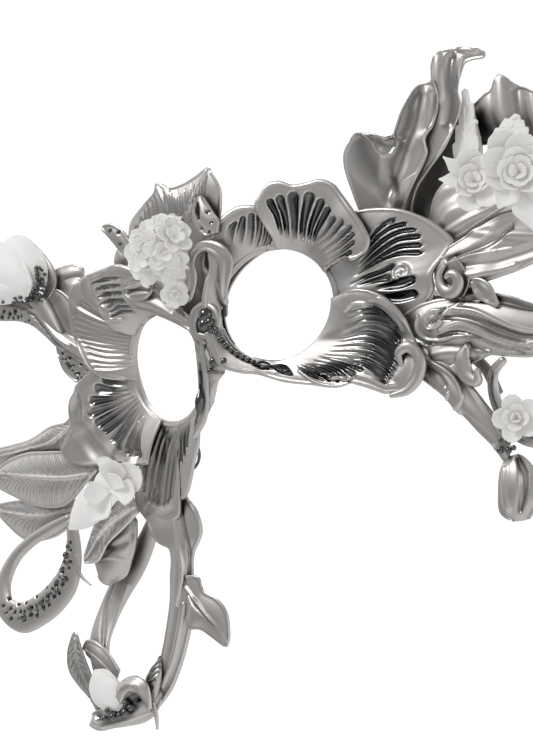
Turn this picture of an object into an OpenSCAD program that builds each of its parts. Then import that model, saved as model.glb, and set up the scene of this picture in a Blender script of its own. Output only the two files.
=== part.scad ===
// Ornamental carnival half mask: a curved base plate with two eye openings, cast leaves and
// petals round them, scrolled wings, porcelain flowers, and two tie rings at the temples.
// Frame: X to the onlooker's right, Z up, the front faces -Y.
// The origin is on the back of the lining, at the nose bridge.

/* [Face] */
// Radius of the face that the lining rests on
face_r = 110; // [105:1:120]
// Half the distance between the eye openings, as an angle on the face
eye_angle = 18; // [17:0.5:19]
// Half width of each eye opening
eye_half_w = 28; // [26:0.5:29]
// Half height of each eye opening
eye_half_h = 25.7; // [24:0.5:27]

/* [Sheet metal] */
// Thickness of the leather lining
lining_t = 1.2; // [1:0.1:1.5]
// Thickness of the base plate
plate_t = 2; // [1.6:0.1:2.4]
// Thickness of the cast leaves and petals
leaf_t = 1.6; // [1.2:0.1:2]
// Width of the raised rim round each eye opening
rim_w = 3; // [2.5:0.1:3.5]
// How far the plate's eye hole reaches past the opening, on the temple side
temple_cut = 12; // [10:0.5:13]

/* [Ties] */
// Radius of each tie ring, to the middle of its wire
ring_r = 8; // [7:0.5:9]
// Radius of the ring's wire
wire_r = 0.8; // [0.6:0.1:0.9]
// Radius of the hole that the ring swings in
ring_hole_r = 1.25; // [1.2:0.05:1.4]
// Radius of the free tie hole
tie_hole_r = 1.6; // [1.5:0.1:1.8]
// Thickness of the temple lugs
lug_t = 1.6; // [1.4:0.1:2]

/* [Beads] */
// Radius of the largest polished bead in the row beside the bridge
bead_r = 1.9; // [1.6:0.1:2]

/* [Hidden] */

SILVER = "silver";
CHROME = "slategray";
PORCELAIN = "ivory";
LEATHER = "sienna";

// Radii of the plate's back and front, about the upright axis at y = face_r
plate_back_r = face_r + lining_t;
plate_front_r = plate_back_r + plate_t;
// Height that every upright cutting cylinder and slab passes beyond the plate
reach = 60;

// Temple lug: where its tab and its two holes stand
lug_x = 82;
lug_z = -20;
lug_half_h = 5;
ring_hole_y = 54;
tie_hole_y = 45;
flange_t = 1.5;
flange_x = 76;
rivet_angle = 45;
rivet_z = 4.5;
rivet_r = 0.95;
rivet_head_r = 2;
rivet_head_h = 0.8;

// Outline of the base plate seen from the front, from the brow's middle round the right side
half_outline = [
    [0, 30], [20, 36], [45, 38], [68, 30], [80, 15], [87, -4], [87, -20],
    [78, -32], [58, -34], [38, -32], [23, -26], [14, -16], [8, -7], [0, -3]
];

// ---------- curves ----------

// Point on a smooth curve through the points or numbers p, at t from 0 to 1
function curve(p, t) =
    let (
        n = len(p) - 1,
        s = min(max(t, 0), 0.99999) * n,
        i = floor(s),
        u = s - i,
        a = p[max(i - 1, 0)],
        b = p[i],
        c = p[i + 1],
        d = p[min(i + 2, n)]
    )
    (2 * b + (c - a) * u + (2 * a - 5 * b + 4 * c - d) * u * u
        + (3 * b - a - 3 * c + d) * u * u * u) / 2;

function unit(v) = v / max(norm(v), 0.0001);

// Points of the whole plate outline, both halves
function outline(step) =
    concat(
        [for (t = [0:step:0.999]) curve(half_outline, t)],
        [for (t = [0:step:0.999]) let (q = curve(half_outline, 1 - t)) [-q[0], q[1]]]
    );

// ---------- sheets ----------

// Normal of a grid of points g at row i, column j
function grid_normal(g, i, j) =
    unit(cross(
        g[min(i + 1, len(g) - 1)][j] - g[max(i - 1, 0)][j],
        g[i][min(j + 1, len(g[0]) - 1)] - g[i][max(j - 1, 0)]
    ));

// Closed plate of thickness t on the grid of points g
module plate(g, t) {
    rows = len(g) - 1;
    cols = len(g[0]) - 1;
    side = (rows + 1) * (cols + 1);
    function at(i, j) = i * (cols + 1) + j;
    function quad(a, b, c, d) = [[a, b, c], [a, c, d]];
    top = [for (i = [0:rows], j = [0:cols]) g[i][j] + grid_normal(g, i, j) * t / 2];
    bottom = [for (i = [0:rows], j = [0:cols]) g[i][j] - grid_normal(g, i, j) * t / 2];
    faces = [
        for (i = [0:rows - 1], j = [0:cols - 1])
            each quad(at(i, j), at(i, j + 1), at(i + 1, j + 1), at(i + 1, j)),
        for (i = [0:rows - 1], j = [0:cols - 1])
            each quad(side + at(i, j), side + at(i + 1, j), side + at(i + 1, j + 1), side + at(i, j + 1)),
        for (i = [0:rows - 1])
            each quad(at(i, 0), at(i + 1, 0), side + at(i + 1, 0), side + at(i, 0)),
        for (i = [0:rows - 1])
            each quad(at(i, cols), side + at(i, cols), side + at(i + 1, cols), at(i + 1, cols)),
        for (j = [0:cols - 1])
            each quad(at(0, j), side + at(0, j), side + at(0, j + 1), at(0, j + 1)),
        for (j = [0:cols - 1])
            each quad(at(rows, j), at(rows, j + 1), side + at(rows, j + 1), side + at(rows, j))
    ];
    polyhedron(concat(top, bottom), faces);
}

// Leaf between the edge curves a and b; bow pushes its middle forward, towards -Y
module leaf(a, b, bow = 2, rows = 10, cols = 4, t = leaf_t) {
    plate([for (i = [0:rows]) [for (j = [0:cols])
        let (u = i / rows, s = j / cols)
        curve(a, u) * (1 - s) + curve(b, u) * s - [0, bow * 4 * s * (1 - s) * sin(180 * u), 0]
    ]], t);
}

// ---------- straps and rods ----------

// Oval bar along path; half_w is its half width across the view, half_d its half depth
module strap(path, half_w, half_d, steps = 16, sides = 8) {
    function section(t) =
        let (
            along = unit(curve(path, t + 0.01) - curve(path, t - 0.01)),
            across = unit(cross(along, [0, -1, 0])),
            out = cross(across, along),
            w = is_list(half_w) ? curve(half_w, t) : half_w,
            d = is_list(half_d) ? curve(half_d, t) : half_d
        )
        [for (k = [0:sides - 1]) curve(path, t) + across * w * cos(360 * k / sides)
            + out * d * sin(360 * k / sides)];
    points = [for (i = [0:steps]) each section(i / steps)];
    function at(i, k) = i * sides + k % sides;
    faces = concat(
        [for (i = [0:steps - 1], k = [0:sides - 1]) each [
            [at(i, k), at(i, k + 1), at(i + 1, k + 1)],
            [at(i, k), at(i + 1, k + 1), at(i + 1, k)]
        ]],
        [[for (k = [sides - 1:-1:0]) at(0, k)], [for (k = [0:sides - 1]) at(steps, k)]]
    );
    polyhedron(points, faces);
}

// ---------- flowers ----------

// Cupped flower head with rounded lobes, at c, turned to face yaw degrees from the front
module rosette(c, yaw, r, lobes, cup, t, notch = 0.35) {
    steps = lobes * 6;
    function ring(f, z) = [for (k = [0:steps - 1])
        let (a = 360 * k / steps, lobe = 1 - notch * f * (1 - abs(cos(lobes * a / 2))))
        [r * f * lobe * cos(a), r * f * lobe * sin(a), z]];
    points = concat(
        [[0, 0, t]], ring(0.5, t + cup * 0.25), ring(1, t / 2 + cup), ring(1, -t / 2 + cup),
        ring(0.5, cup * 0.25 - t / 2), [[0, 0, -t / 2]]
    );
    last = len(points) - 1;
    function at(j, k) = 1 + j * steps + k % steps;
    faces = [
        for (k = [0:steps - 1]) [0, at(0, k + 1), at(0, k)],
        for (j = [0:2], k = [0:steps - 1]) each [
            [at(j, k), at(j, k + 1), at(j + 1, k + 1)],
            [at(j, k), at(j + 1, k + 1), at(j + 1, k)]
        ],
        for (k = [0:steps - 1]) [last, at(3, k), at(3, k + 1)]
    ];
    translate(c) rotate([90, 0, yaw]) polyhedron(points, faces);
}

// Tight cluster of small blossoms: one ball in the middle and a ring of count round it
module cluster(c, ring, ball, middle, count) {
    translate(c) {
        sphere(r = middle, $fn = 32);
        for (k = [0:count - 1])
            translate([ring * cos(360 * k / count), 1, ring * sin(360 * k / count)])
                sphere(r = ball, $fn = 32);
    }
}

// ---------- eye frames ----------

// Places children in an eye's own frame: x across, y up, z out of the face
module at_eye(side) {
    translate([side * plate_front_r * sin(eye_angle), face_r - plate_front_r * cos(eye_angle), 0])
        rotate([90, 0, side * eye_angle]) children();
}

// Oval prism in the eye frame, from z0 to z1: grown by margin, and by extra towards shift (-1 or 1)
module eye_oval(margin, z0, z1, shift = 0, extra = 0) {
    translate([shift * extra / 2, 0, z0]) linear_extrude(z1 - z0)
        polygon([for (a = [0:6:354])
            [(eye_half_w + margin + extra / 2) * cos(a), (eye_half_h + margin) * sin(a)]]);
}

// Petal in the eye frame. Its foot lies on the opening's edge between the angles from and to, at
// heights that run from foot_a to foot_b. It ends on the curve through the rim points
// [angle, radius, height], and rises fast at first, as a trumpet does.
module petal(side, from, to, rim, foot_a = 1.8, foot_b = 1.8, rows = 12, cols = 5) {
    edge = [for (q = rim) [q[1] * cos(q[0]), q[1] * sin(q[0]), q[2]]];
    at_eye(side) plate([for (i = [0:rows]) [for (j = [0:cols])
        let (
            u = i / rows,
            s = j / cols,
            a = from + (to - from) * u,
            foot = foot_a + (foot_b - foot_a) * u,
            p = [(eye_half_w + 0.4) * cos(a), (eye_half_h + 0.4) * sin(a), foot],
            q = curve(edge, u),
            rise = 1 - pow(1 - s, 1.7)
        )
        [p[0] + (q[0] - p[0]) * s, p[1] + (q[1] - p[1]) * s, foot + (q[2] - foot) * rise]
    ]], leaf_t);
}

// ---------- base plate and its fittings ----------

// Upright solid cylinder about the face's axis
module face_cylinder(r) {
    translate([0, face_r, -reach]) cylinder(r = r, h = 2 * reach, $fn = 180);
}

// Front outline cut through the face, scaled across and up
module outline_prism(sx, sz) {
    translate([0, reach, 0]) rotate([90, 0, 0]) linear_extrude(2 * reach)
        polygon([for (q = outline(1 / 24)) [q[0] * sx, q[1] * sz]]);
}

// Part of the outline between two radii of the face
module face_band(inner_r, outer_r, sx, sz) {
    difference() {
        intersection() {
            face_cylinder(outer_r);
            outline_prism(sx, sz);
        }
        face_cylinder(inner_r);
    }
}

// The two rivets of each lug, with shank radius r from radius r0 to r1 of the face
module rivet_shanks(r, r0, r1) {
    for (side = [-1, 1], z = [-rivet_z, rivet_z])
        translate([0, face_r, lug_z + z]) rotate([90, 0, side * rivet_angle]) translate([0, 0, r0])
            cylinder(r = r, h = r1 - r0, $fn = 32);
}

module face_plate() {
    color(SILVER) difference() {
        face_band(plate_back_r, plate_front_r, 1, 1);
        for (side = [-1, 1]) at_eye(side) eye_oval(0.5, -25, 10, side, temple_cut);
        rivet_shanks(rivet_r, plate_back_r - 2, plate_front_r + 2);
    }
}

module face_lining() {
    color(LEATHER) difference() {
        face_band(face_r, plate_back_r, 0.7, 0.92);
        for (side = [-1, 1]) at_eye(side) eye_oval(1.5, -25, 10, side, temple_cut + 3);
    }
}

module eye_rims() {
    color(SILVER) for (side = [-1, 1]) difference() {
        at_eye(side) eye_oval(rim_w + 1, -1.5, 1.5);
        at_eye(side) eye_oval(1, -3, 3);
        face_cylinder(plate_front_r);
    }
}

module temple_lug(side) {
    difference() {
        intersection() {
            face_cylinder(plate_back_r);
            union() {
                difference() {
                    translate([side > 0 ? flange_x : -lug_x - lug_t, 10, lug_z - 8])
                        cube([lug_x + lug_t - flange_x, 35, 16]);
                    face_cylinder(plate_back_r - flange_t);
                }
                translate([side > 0 ? lug_x : -lug_x - lug_t, 30, lug_z - lug_half_h])
                    cube([lug_t, ring_hole_y - 30, 2 * lug_half_h]);
                translate([side > 0 ? lug_x : -lug_x - lug_t, ring_hole_y, lug_z]) rotate([0, 90, 0])
                    cylinder(r = lug_half_h, h = lug_t, $fn = 48);
            }
        }
        translate([side * lug_x - 5, ring_hole_y, lug_z]) rotate([0, 90, 0])
            cylinder(r = ring_hole_r, h = 10, $fn = 48);
        translate([side * lug_x - 5, tie_hole_y, lug_z]) rotate([0, 90, 0])
            cylinder(r = tie_hole_r, h = 10, $fn = 48);
        rivet_shanks(rivet_r, plate_back_r - 5, plate_front_r);
    }
}

module temple_lugs() {
    color(SILVER) for (side = [-1, 1]) temple_lug(side);
}

module lug_rivets() {
    color(CHROME) {
        rivet_shanks(rivet_r, plate_back_r - flange_t - rivet_head_h, plate_front_r + rivet_head_h);
        rivet_shanks(rivet_head_r, plate_back_r - flange_t - rivet_head_h, plate_back_r - flange_t);
        rivet_shanks(rivet_head_r, plate_front_r, plate_front_r + rivet_head_h);
    }
}

module tie_ring(side) {
    translate([side * (lug_x + lug_t / 2), ring_hole_y, lug_z - ring_r]) rotate([90, 0, 0])
        rotate_extrude($fn = 64) translate([ring_r, 0]) circle(r = wire_r, $fn = 24);
}

module tie_ring_right() {
    color(CHROME) tie_ring(1);
}

module tie_ring_left() {
    color(CHROME) tie_ring(-1);
}

// Hidden bars on the back that carry the wings and the hanging loops
module wing_frame() {
    color(SILVER) {
        strap([[72, 25, 12], [90, 27, 8], [108, 29, 2], [128, 32, -2], [150, 34, -2]], 3, 1.2, 10);
        strap([[72, 24, -14], [88, 24, -32], [102, 23, -50], [114, 23, -66], [116, 23, -82]], 3, 1.2, 10);
        strap([[-72, 25, 16], [-84, 24, 30], [-94, 22, 46], [-102, 22, 62]], 3, 1.2, 10);
        strap([[-74, 25, -10], [-96, 26, -14], [-124, 27, -14], [-150, 31, -14]], 3, 1.2, 10);
        strap([[-58, 14, -26], [-66, 14, -42], [-74, 14, -58], [-84, 14, -70]], 3, 1.2, 10);
    }
}

// ---------- petals round the eyes ----------

module petal_right_inner() {
    color(SILVER) petal(1, 170, 66, [
        [170, 35, 5], [155, 35, 6], [140, 35, 7], [128, 36, 7], [116, 42, 9], [107, 45, 10], [98, 47, 11],
        [88, 48, 10], [78, 46, 10], [68, 43, 9]
    ], rows = 16);
}

module petal_right_brow() {
    color(SILVER) petal(1, 76, 3, [
        [76, 46, 13], [72, 51, 13], [68, 55, 13], [62, 56, 13], [56, 55, 13], [50, 57, 13], [44, 61, 13],
        [38, 62, 13], [32, 60, 13], [23, 58, 14], [14, 57, 14], [7, 56, 14], [3, 52, 13], [0, 44, 12]
    ], 4, 4, 16);
}

module petal_right_outer() {
    color(SILVER) petal(1, 24, -30, [
        [24, 56, 10], [20, 62, 10], [15, 69, 11], [10, 76, 12], [4, 83, 12], [-1, 88, 12], [-6, 92, 12],
        [-9, 88, 12], [-12, 82, 12], [-15, 79, 12], [-19, 79, 12], [-23, 75, 12], [-29, 65, 12]
    ], 1.8, 4, 16);
}

module petal_right_cheek() {
    color(SILVER) petal(1, -24, -180, [
        [-24, 58, 8], [-30, 64, 9], [-35, 70, 10], [-40, 75, 11], [-45, 78, 12], [-50, 79, 12], [-55, 77, 11],
        [-59, 71, 10], [-62, 60, 9], [-66, 54, 8], [-74, 50, 8], [-86, 42, 7], [-101, 37, 6], [-115, 34, 5],
        [-128, 33, 5], [-141, 35, 5], [-156, 38, 5], [-170, 37, 5], [-182, 36, 5]
    ], rows = 22);
}

module petal_left_brow() {
    color(SILVER) petal(-1, 62, 116, [
        [62, 44, 10], [70, 48, 12], [80, 52, 14], [92, 54, 15], [102, 57, 16], [109, 60, 16], [114, 59, 16],
        [117, 52, 15], [119, 44, 14]
    ], 3, 4);
}

module petal_left_outer() {
    color(SILVER) petal(-1, 106, 168, [
        [108, 56, 12], [114, 62, 12], [119, 67, 12], [124, 69, 12], [129, 66, 13], [137, 63, 13], [143, 59, 13],
        [149, 53, 14], [155, 47, 14], [160, 41, 13], [167, 36, 10]
    ], 1.8, 4, 16);
}

module petal_left_back() {
    color(SILVER) {
        leaf([[-97, 20, 66], [-90, 19, 64], [-85, 18, 61], [-82, 18, 50], [-84, 18, 40]],
            [[-102, 20, 60], [-105, 20, 55], [-103, 20, 50], [-99, 19, 45], [-92, 19, 37]], 1.5);
        leaf([[-94, 24, 74], [-86, 23, 73], [-80, 22, 72], [-75, 21, 68], [-74, 21, 64]],
            [[-97, 24, 68], [-91, 23, 66], [-85, 22, 65], [-79, 21, 62], [-75, 21, 61]], 1.5, 6);
    }
}

module petal_left_cheek() {
    color(SILVER) petal(-1, 156, 231, [
        [152, 42, 9], [157, 46, 12], [163, 56, 15], [168, 64, 16], [173, 69, 16], [179, 71, 17], [182, 76, 17],
        [184, 85, 17], [188, 85, 16], [194, 77, 15], [202, 64, 15], [212, 54, 14], [222, 50, 13], [232, 46, 12]
    ], 1.8, 4, 20);
}

module petal_left_long() {
    color(SILVER) petal(-1, 208, 258, [
        [207, 35, 7], [214, 42, 8], [219, 50, 8], [221, 58, 8], [220, 66, 8], [222, 73, 8], [228, 76, 8],
        [235, 76, 8], [242, 74, 8], [248, 70, 8], [250, 62, 8], [252, 50, 8]
    ], 1.8, 4, 16);
}

module petal_left_nose() {
    color(SILVER) petal(-1, 236, 290, [
        [240, 56, 5], [246, 62, 5], [251, 62, 6], [256, 59, 6], [262, 53, 6], [269, 47, 6], [277, 42, 5],
        [285, 36, 4]
    ]);
}

// ---------- bridge ----------

module bridge_volute() {
    turns = 1.25;
    color(SILVER) strap(
        [for (t = [0:0.1:1]) let (a = 250 - 360 * turns * t, r = 9 - 4.5 * t)
            [4 + r * cos(a), -9 - 3 * t, 8 + r * sin(a)]],
        [1.2, 1.8, 1.8, 1.6, 1.2], 1.4, 20);
}

// Polished beads: a tapering row along the lower rim of the right eye, three more, and a drop
module bridge_beads() {
    color(CHROME) {
        for (k = [0:8])
            at_eye(1) translate([
                (eye_half_w + 2.6) * cos(172 + 8 * k), (eye_half_h + 2.6) * sin(172 + 8 * k), 6.5 - 0.3 * k])
                sphere(r = bead_r - 0.12 * k, $fn = 32);
        translate([4, -14, 9]) sphere(r = bead_r + 1.3, $fn = 32);
        translate([-2, -11, -10]) sphere(r = 2, $fn = 32);
        translate([3, -11, -13]) sphere(r = 2, $fn = 32);
        translate([-5, -11, -14]) sphere(r = 1.3, $fn = 32);
        strap([[-15, -10, -20], [-17, -11, -25], [-20, -11, -30]], [0.6, 2.2, 0.8], [0.6, 2, 0.8], 8);
    }
}

module bridge_ribbon_loop() {
    color(SILVER) strap([
        [-4, -10, 20], [1, -12, 22], [6, -13, 28], [8, -14, 34], [13, -14, 38], [20, -14, 38], [26, -14, 33],
        [27, -13, 27], [23, -13, 21], [18, -12, 15], [14, -11, 10]
    ], [1.5, 2.6, 3.2, 3, 2.4, 2.6, 3.6, 4.2, 3.2, 2.2, 1.6], 1.5, 22);
}

module bridge_ribbon_leaf() {
    color(SILVER) leaf(
        [[-37, -9, 42], [-30, -12, 43], [-22, -13, 41], [-16, -12, 36], [-13, -12, 28], [-9, -12, 21], [-4, -11, 12]],
        [[-38, -8, 39], [-36, -9, 36], [-32, -10, 30], [-25, -10, 25], [-18, -10, 19], [-12, -10, 13], [-7, -10, 7]],
        2, 12);
}

module bridge_strip() {
    color(SILVER) strap(
        [[-2, -10, 13], [-5, -9, 4], [-7, -9, -3], [-10, -9, -12], [-15, -8, -22], [-22, -7, -31], [-30, -6, -37]],
        [1.4, 2.4, 3, 3.2, 3.2, 3.4, 1.4], 1.4, 14);
}

// ---------- forehead ----------

module forehead_leaf() {
    color(SILVER) leaf(
        [[-26, -6, 58], [-19, -8, 67], [-8, -9, 71], [1, -9, 74], [4, -9, 77], [9, -9, 72], [17, -9, 70],
            [26, -9, 70], [34, -9, 71]],
        [[-22, -6, 50], [-10, -7, 44], [2, -7, 40], [13, -7, 40], [22, -7, 43], [28, -7, 48], [33, -8, 54],
            [36, -9, 60], [35, -9, 68]],
        3, 18);
}

module dotted_leaves() {
    color(SILVER) {
        leaf([[-34, -9, 73], [-29, -9, 71], [-25, -9, 66], [-23, -9, 60], [-19, -9, 55]],
            [[-35, -9, 72], [-33, -9, 68], [-31, -9, 63], [-29, -9, 58], [-25, -9, 53]], 1, 8);
        leaf([[-34, -6, 60], [-37, -6, 57], [-38, -6, 54]], [[-29, -6, 57], [-30, -6, 53], [-35, -6, 51]], 1, 5);
        leaf([[26, -13, 60], [22, -13, 57], [20, -13, 52], [20, -13, 47], [23, -13, 42]],
            [[28, -13, 59], [29, -13, 54], [30, -13, 49], [31, -13, 45], [29, -13, 41]], 2, 8);
    }
}

module forehead_blossoms() {
    color(PORCELAIN) cluster([-2, -16, 48], 11, 7, 9, 8);
}

module forehead_floret() {
    color(PORCELAIN) rosette([-5, -15, 26], 15, 6, 5, 1.5, 1.6);
}

// ---------- right wing ----------

module plume_front() {
    color(SILVER) leaf(
        [[85, 20, 14], [87, 17, 32], [89, 14, 45], [94, 14, 52], [101, 15, 56], [106, 16, 54], [107, 17, 46],
            [109, 17, 42], [113, 18, 42], [119, 19, 47], [126, 20, 55], [132, 22, 61], [138, 23, 63], [144, 24, 62]],
        [[100, 22, 8], [109, 21, 18], [116, 20, 23], [123, 21, 28], [129, 21, 33], [131, 21, 39], [136, 22, 43],
            [141, 23, 49], [144, 24, 56], [145, 24, 61]],
        -3, 22);
}

module plume_tall() {
    color(SILVER) leaf(
        [[102, 25, 14], [117, 25, 31], [130, 26, 45], [139, 27, 55], [143, 28, 64], [146, 28, 70], [151, 29, 73],
            [158, 31, 71], [164, 32, 69], [170, 33, 64]],
        [[104, 25, 8], [114, 24, 20], [124, 24, 26], [135, 26, 32], [143, 28, 39], [150, 29, 46], [152, 29, 54],
            [156, 30, 60], [161, 31, 64], [169, 33, 62]],
        2, 18);
}

module plume_rear() {
    color(SILVER) leaf(
        [[144, 38, 40], [148, 38, 45], [157, 40, 48], [162, 41, 49], [168, 42, 53], [173, 43, 46], [179, 44, 40],
            [186, 45, 30]],
        [[138, 37, 34], [146, 38, 29], [155, 40, 26], [162, 41, 22], [167, 42, 18], [173, 43, 16], [179, 44, 16],
            [186, 45, 22]],
        3, 14);
}

module white_leaves() {
    color(PORCELAIN) {
        leaf([[134, 31, 24], [138, 32, 33], [144, 32, 41], [149, 33, 48], [153, 33, 53]],
            [[139, 31, 19], [145, 32, 26], [150, 33, 32], [152, 33, 40], [154, 33, 52]], 1.5, 8);
        leaf([[148, 34, 14], [154, 35, 22], [160, 35, 28], [166, 36, 30], [171, 37, 31]],
            [[154, 34, 10], [164, 35, 14], [170, 36, 18], [173, 37, 24], [173, 37, 30]], 1.5, 8);
    }
}

module star_flower() {
    color(PORCELAIN) rosette([148, 19, 9], 30, 16, 6, 2, 2, 0.55);
}

module white_rose() {
    color(PORCELAIN) rosette([168, 24, 6], 30, 16, 5, 4, 7, 0.2);
}

module pale_drape() {
    color(PORCELAIN) leaf(
        [[114, 24, 4], [122, 25, 13], [130, 26, 17], [138, 27, 14], [147, 28, 6], [155, 29, -2]],
        [[113, 24, 0], [119, 24, -6], [128, 25, -9], [138, 26, -9], [147, 28, -8], [155, 29, -6]], 4);
}

module drape_leaf() {
    color(SILVER) leaf(
        [[116, 17, -13], [125, 19, -9], [135, 21, -7], [146, 23, -6], [154, 25, -6], [160, 26, -11], [166, 27, -20],
            [178, 29, -30]],
        [[114, 16, -18], [119, 16, -21], [124, 17, -26], [131, 18, -32], [140, 21, -34], [150, 23, -35],
            [163, 26, -35], [178, 29, -33]],
        3, 14);
}

module drape_curls() {
    color(SILVER) {
        strap([[115, 12, -19], [120, 11, -20], [124, 11, -26], [124, 11, -33], [120, 11, -35], [118, 11, -31]],
            [1.6, 2.4, 2.8, 2.6, 2, 1], 2, 14);
        strap([[128, 15, -33], [132, 15, -37], [131, 15, -43]], [1.5, 3, 1.5], 2, 8);
    }
}

module scroll_arm_upper() {
    color(SILVER) leaf(
        [[91, 14, -34], [98, 14, -31], [107, 15, -32], [117, 17, -35], [131, 20, -39], [141, 22, -45],
            [150, 24, -53], [161, 27, -60], [174, 30, -67]],
        [[91, 14, -39], [96, 14, -45], [104, 15, -51], [114, 17, -58], [126, 19, -65], [139, 22, -72],
            [150, 24, -75], [162, 27, -74], [174, 30, -70]],
        5, 14, 5, 2.4);
}

module scroll_arm_lower() {
    color(SILVER) leaf(
        [[88, 14, -44], [96, 15, -49], [104, 16, -61], [107, 16, -72], [111, 16, -84], [114, 17, -95], [115, 17, -104],
            [113, 17, -110]],
        [[83, 12, -52], [90, 13, -63], [96, 13, -72], [99, 14, -81], [103, 15, -90], [107, 16, -99], [110, 16, -106],
            [111, 17, -112]],
        3, 14, 4, 2.4);
}

module scroll_curl() {
    color(SILVER) strap([[114, 13, -57], [111, 12, -62], [111, 12, -69], [115, 12, -74], [117, 12, -70]],
        [2, 4, 4, 2.6, 1.2], 2.2, 12);
}

module right_loop() {
    color(SILVER) strap([
        [128, 18, -70], [121, 18, -73], [117, 18, -82], [117, 18, -92], [121, 18, -103], [129, 19, -110],
        [140, 21, -113], [150, 23, -108], [156, 24, -98], [157, 25, -87], [151, 24, -79], [142, 22, -77]
    ], [2, 2.6, 3, 3, 3.4, 3.4, 3.2, 3, 2.8, 2.4, 2, 1.6], 1.6, 24);
}

module right_loop_flower() {
    color(PORCELAIN) rosette([127, 15, -98], 25, 10, 5, 3, 3, 0.3);
}

module right_loop_leaf() {
    color(SILVER) leaf(
        [[112, 17, -111], [107, 16, -116], [103, 15, -124], [100, 15, -132], [104, 15, -138]],
        [[118, 18, -112], [121, 18, -118], [122, 18, -126], [120, 17, -134], [112, 16, -140]], 4, 8);
}

// ---------- left wing ----------

module flower_bud() {
    color(PORCELAIN) strap([[-96, 14, 72], [-105, 16, 79], [-117, 18, 84], [-131, 20, 89], [-145, 22, 93]],
        [3, 12, 15, 13, 2], [3, 10, 12, 11, 2], 12, 12);
}

module bud_sepal() {
    color(SILVER) leaf(
        [[-93, 17, 93], [-90, 16, 86], [-89, 15, 77], [-92, 16, 68], [-98, 17, 63]],
        [[-95, 16, 91], [-93, 14, 84], [-94, 12, 76], [-98, 12, 69], [-104, 14, 65]], 1, 8);
}

module bud_arm() {
    color(SILVER) strap(
        [[-146, 23, 76], [-134, 21, 72], [-121, 19, 67], [-111, 17, 60], [-105, 16, 51], [-100, 15, 42], [-93, 14, 34],
            [-85, 13, 24]],
        [1.4, 4, 5, 5.4, 5, 4.4, 4.2, 3.4], 2, 18);
}

module feather_leaf_rear() {
    color(SILVER) leaf(
        [[-110, 22, 14], [-119, 22, 7], [-131, 23, 9], [-148, 25, 9], [-170, 29, 14], [-184, 31, 17]],
        [[-108, 21, -6], [-122, 22, -6], [-136, 24, -5], [-150, 26, -1], [-170, 29, 6], [-184, 31, 14]], 2, 12);
}

module feather_leaf_upper() {
    color(SILVER) leaf(
        [[-108, 15, -14], [-126, 17, -6], [-136, 19, -2], [-150, 22, 3], [-165, 25, 5], [-182, 28, 4]],
        [[-108, 15, -23], [-119, 16, -26], [-133, 19, -29], [-144, 21, -27], [-158, 24, -20], [-170, 26, -10],
            [-182, 28, 1]],
        3, 12);
}

module feather_leaf_lower() {
    color(SILVER) leaf(
        [[-130, 25, -30], [-142, 26, -26], [-155, 28, -21], [-171, 30, -14], [-188, 33, -9]],
        [[-132, 25, -35], [-148, 28, -38], [-162, 30, -37], [-177, 32, -31], [-188, 33, -14]], 3, 12);
}

// ---------- hanging loops at the lower left ----------

module left_blossom() {
    color(PORCELAIN) leaf(
        [[-71, -1, -36], [-78, -2, -31], [-90, -2, -28], [-100, -1, -31], [-112, -1, -34], [-119, 0, -39]],
        [[-76, -1, -45], [-84, -2, -47], [-92, -2, -45], [-101, -2, -46], [-108, -1, -49], [-117, 0, -46]],
        6, 12, 4, 2.4);
}

module veined_leaf() {
    color(SILVER) leaf(
        [[-84, 3, -47], [-96, 3, -45], [-106, 3, -47], [-116, 4, -54], [-124, 4, -61]],
        [[-84, 3, -54], [-95, 3, -57], [-107, 3, -60], [-117, 4, -65], [-125, 4, -63]], 1.5, 10);
}

module seed_pod() {
    color(SILVER) strap([[-97, 12, -54], [-103, 12, -59], [-111, 12, -66], [-118, 12, -72], [-124, 12, -77]],
        [4, 8.5, 9, 8, 3], [3, 5.5, 6, 5.5, 3], 12, 12);
}

module inner_ring() {
    color(SILVER) strap([
        [-132, 14, -40], [-138, 14, -54], [-147, 14, -64], [-158, 14, -69], [-170, 14, -71], [-182, 14, -70],
        [-190, 15, -61], [-188, 17, -50], [-178, 19, -41], [-165, 20, -37], [-150, 20, -36], [-138, 20, -36]
    ], [3, 5, 7, 7.5, 7.5, 7.5, 6, 4.5, 3.4, 3, 3, 2.4], 2, 26);
}

module inner_ring_beads() {
    color(CHROME) for (k = [0:8], row = [-1, 1])
        translate([-140 - 5.6 * k + 2.2 * row, 12.2, -59 - 11 * (1 - pow(1 - k / 8, 2)) + 2.6 * row])
            sphere(r = 1.5 - 0.05 * k, $fn = 24);
}

module outer_stem_left() {
    color(SILVER) strap([
        [-86, 16, -58], [-100, 20, -66], [-112, 22, -72], [-124, 21, -79], [-134, 18, -88], [-141, 14, -98],
        [-143, 11, -109], [-141, 9, -119], [-136, 7, -131]
    ], [4, 5.5, 6.5, 6.5, 6.2, 6.2, 6, 5.5, 5], 2, 20);
}

module outer_stem_right() {
    color(SILVER) leaf(
        [[-66, 7, -56], [-71, 6, -64], [-74, 6, -75], [-80, 6, -88], [-85, 6, -99], [-92, 6, -109], [-100, 6, -119],
            [-108, 6, -127], [-116, 6, -133]],
        [[-57, 7, -58], [-54, 6, -67], [-56, 6, -77], [-65, 6, -84], [-70, 6, -94], [-75, 6, -105], [-82, 6, -115],
            [-92, 6, -126], [-104, 6, -136], [-117, 6, -142]],
        2.5, 16, 4, 2.4);
}

module fork_leaf() {
    color(SILVER) leaf(
        [[-70, 3, -93], [-64, 3, -96], [-64, 3, -103], [-58, 3, -110], [-56, 3, -118], [-59, 3, -127], [-62, 3, -131]],
        [[-74, 3, -104], [-77, 3, -110], [-79, 3, -115], [-73, 3, -118], [-68, 3, -124], [-63, 3, -131]], 2);
}

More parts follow.
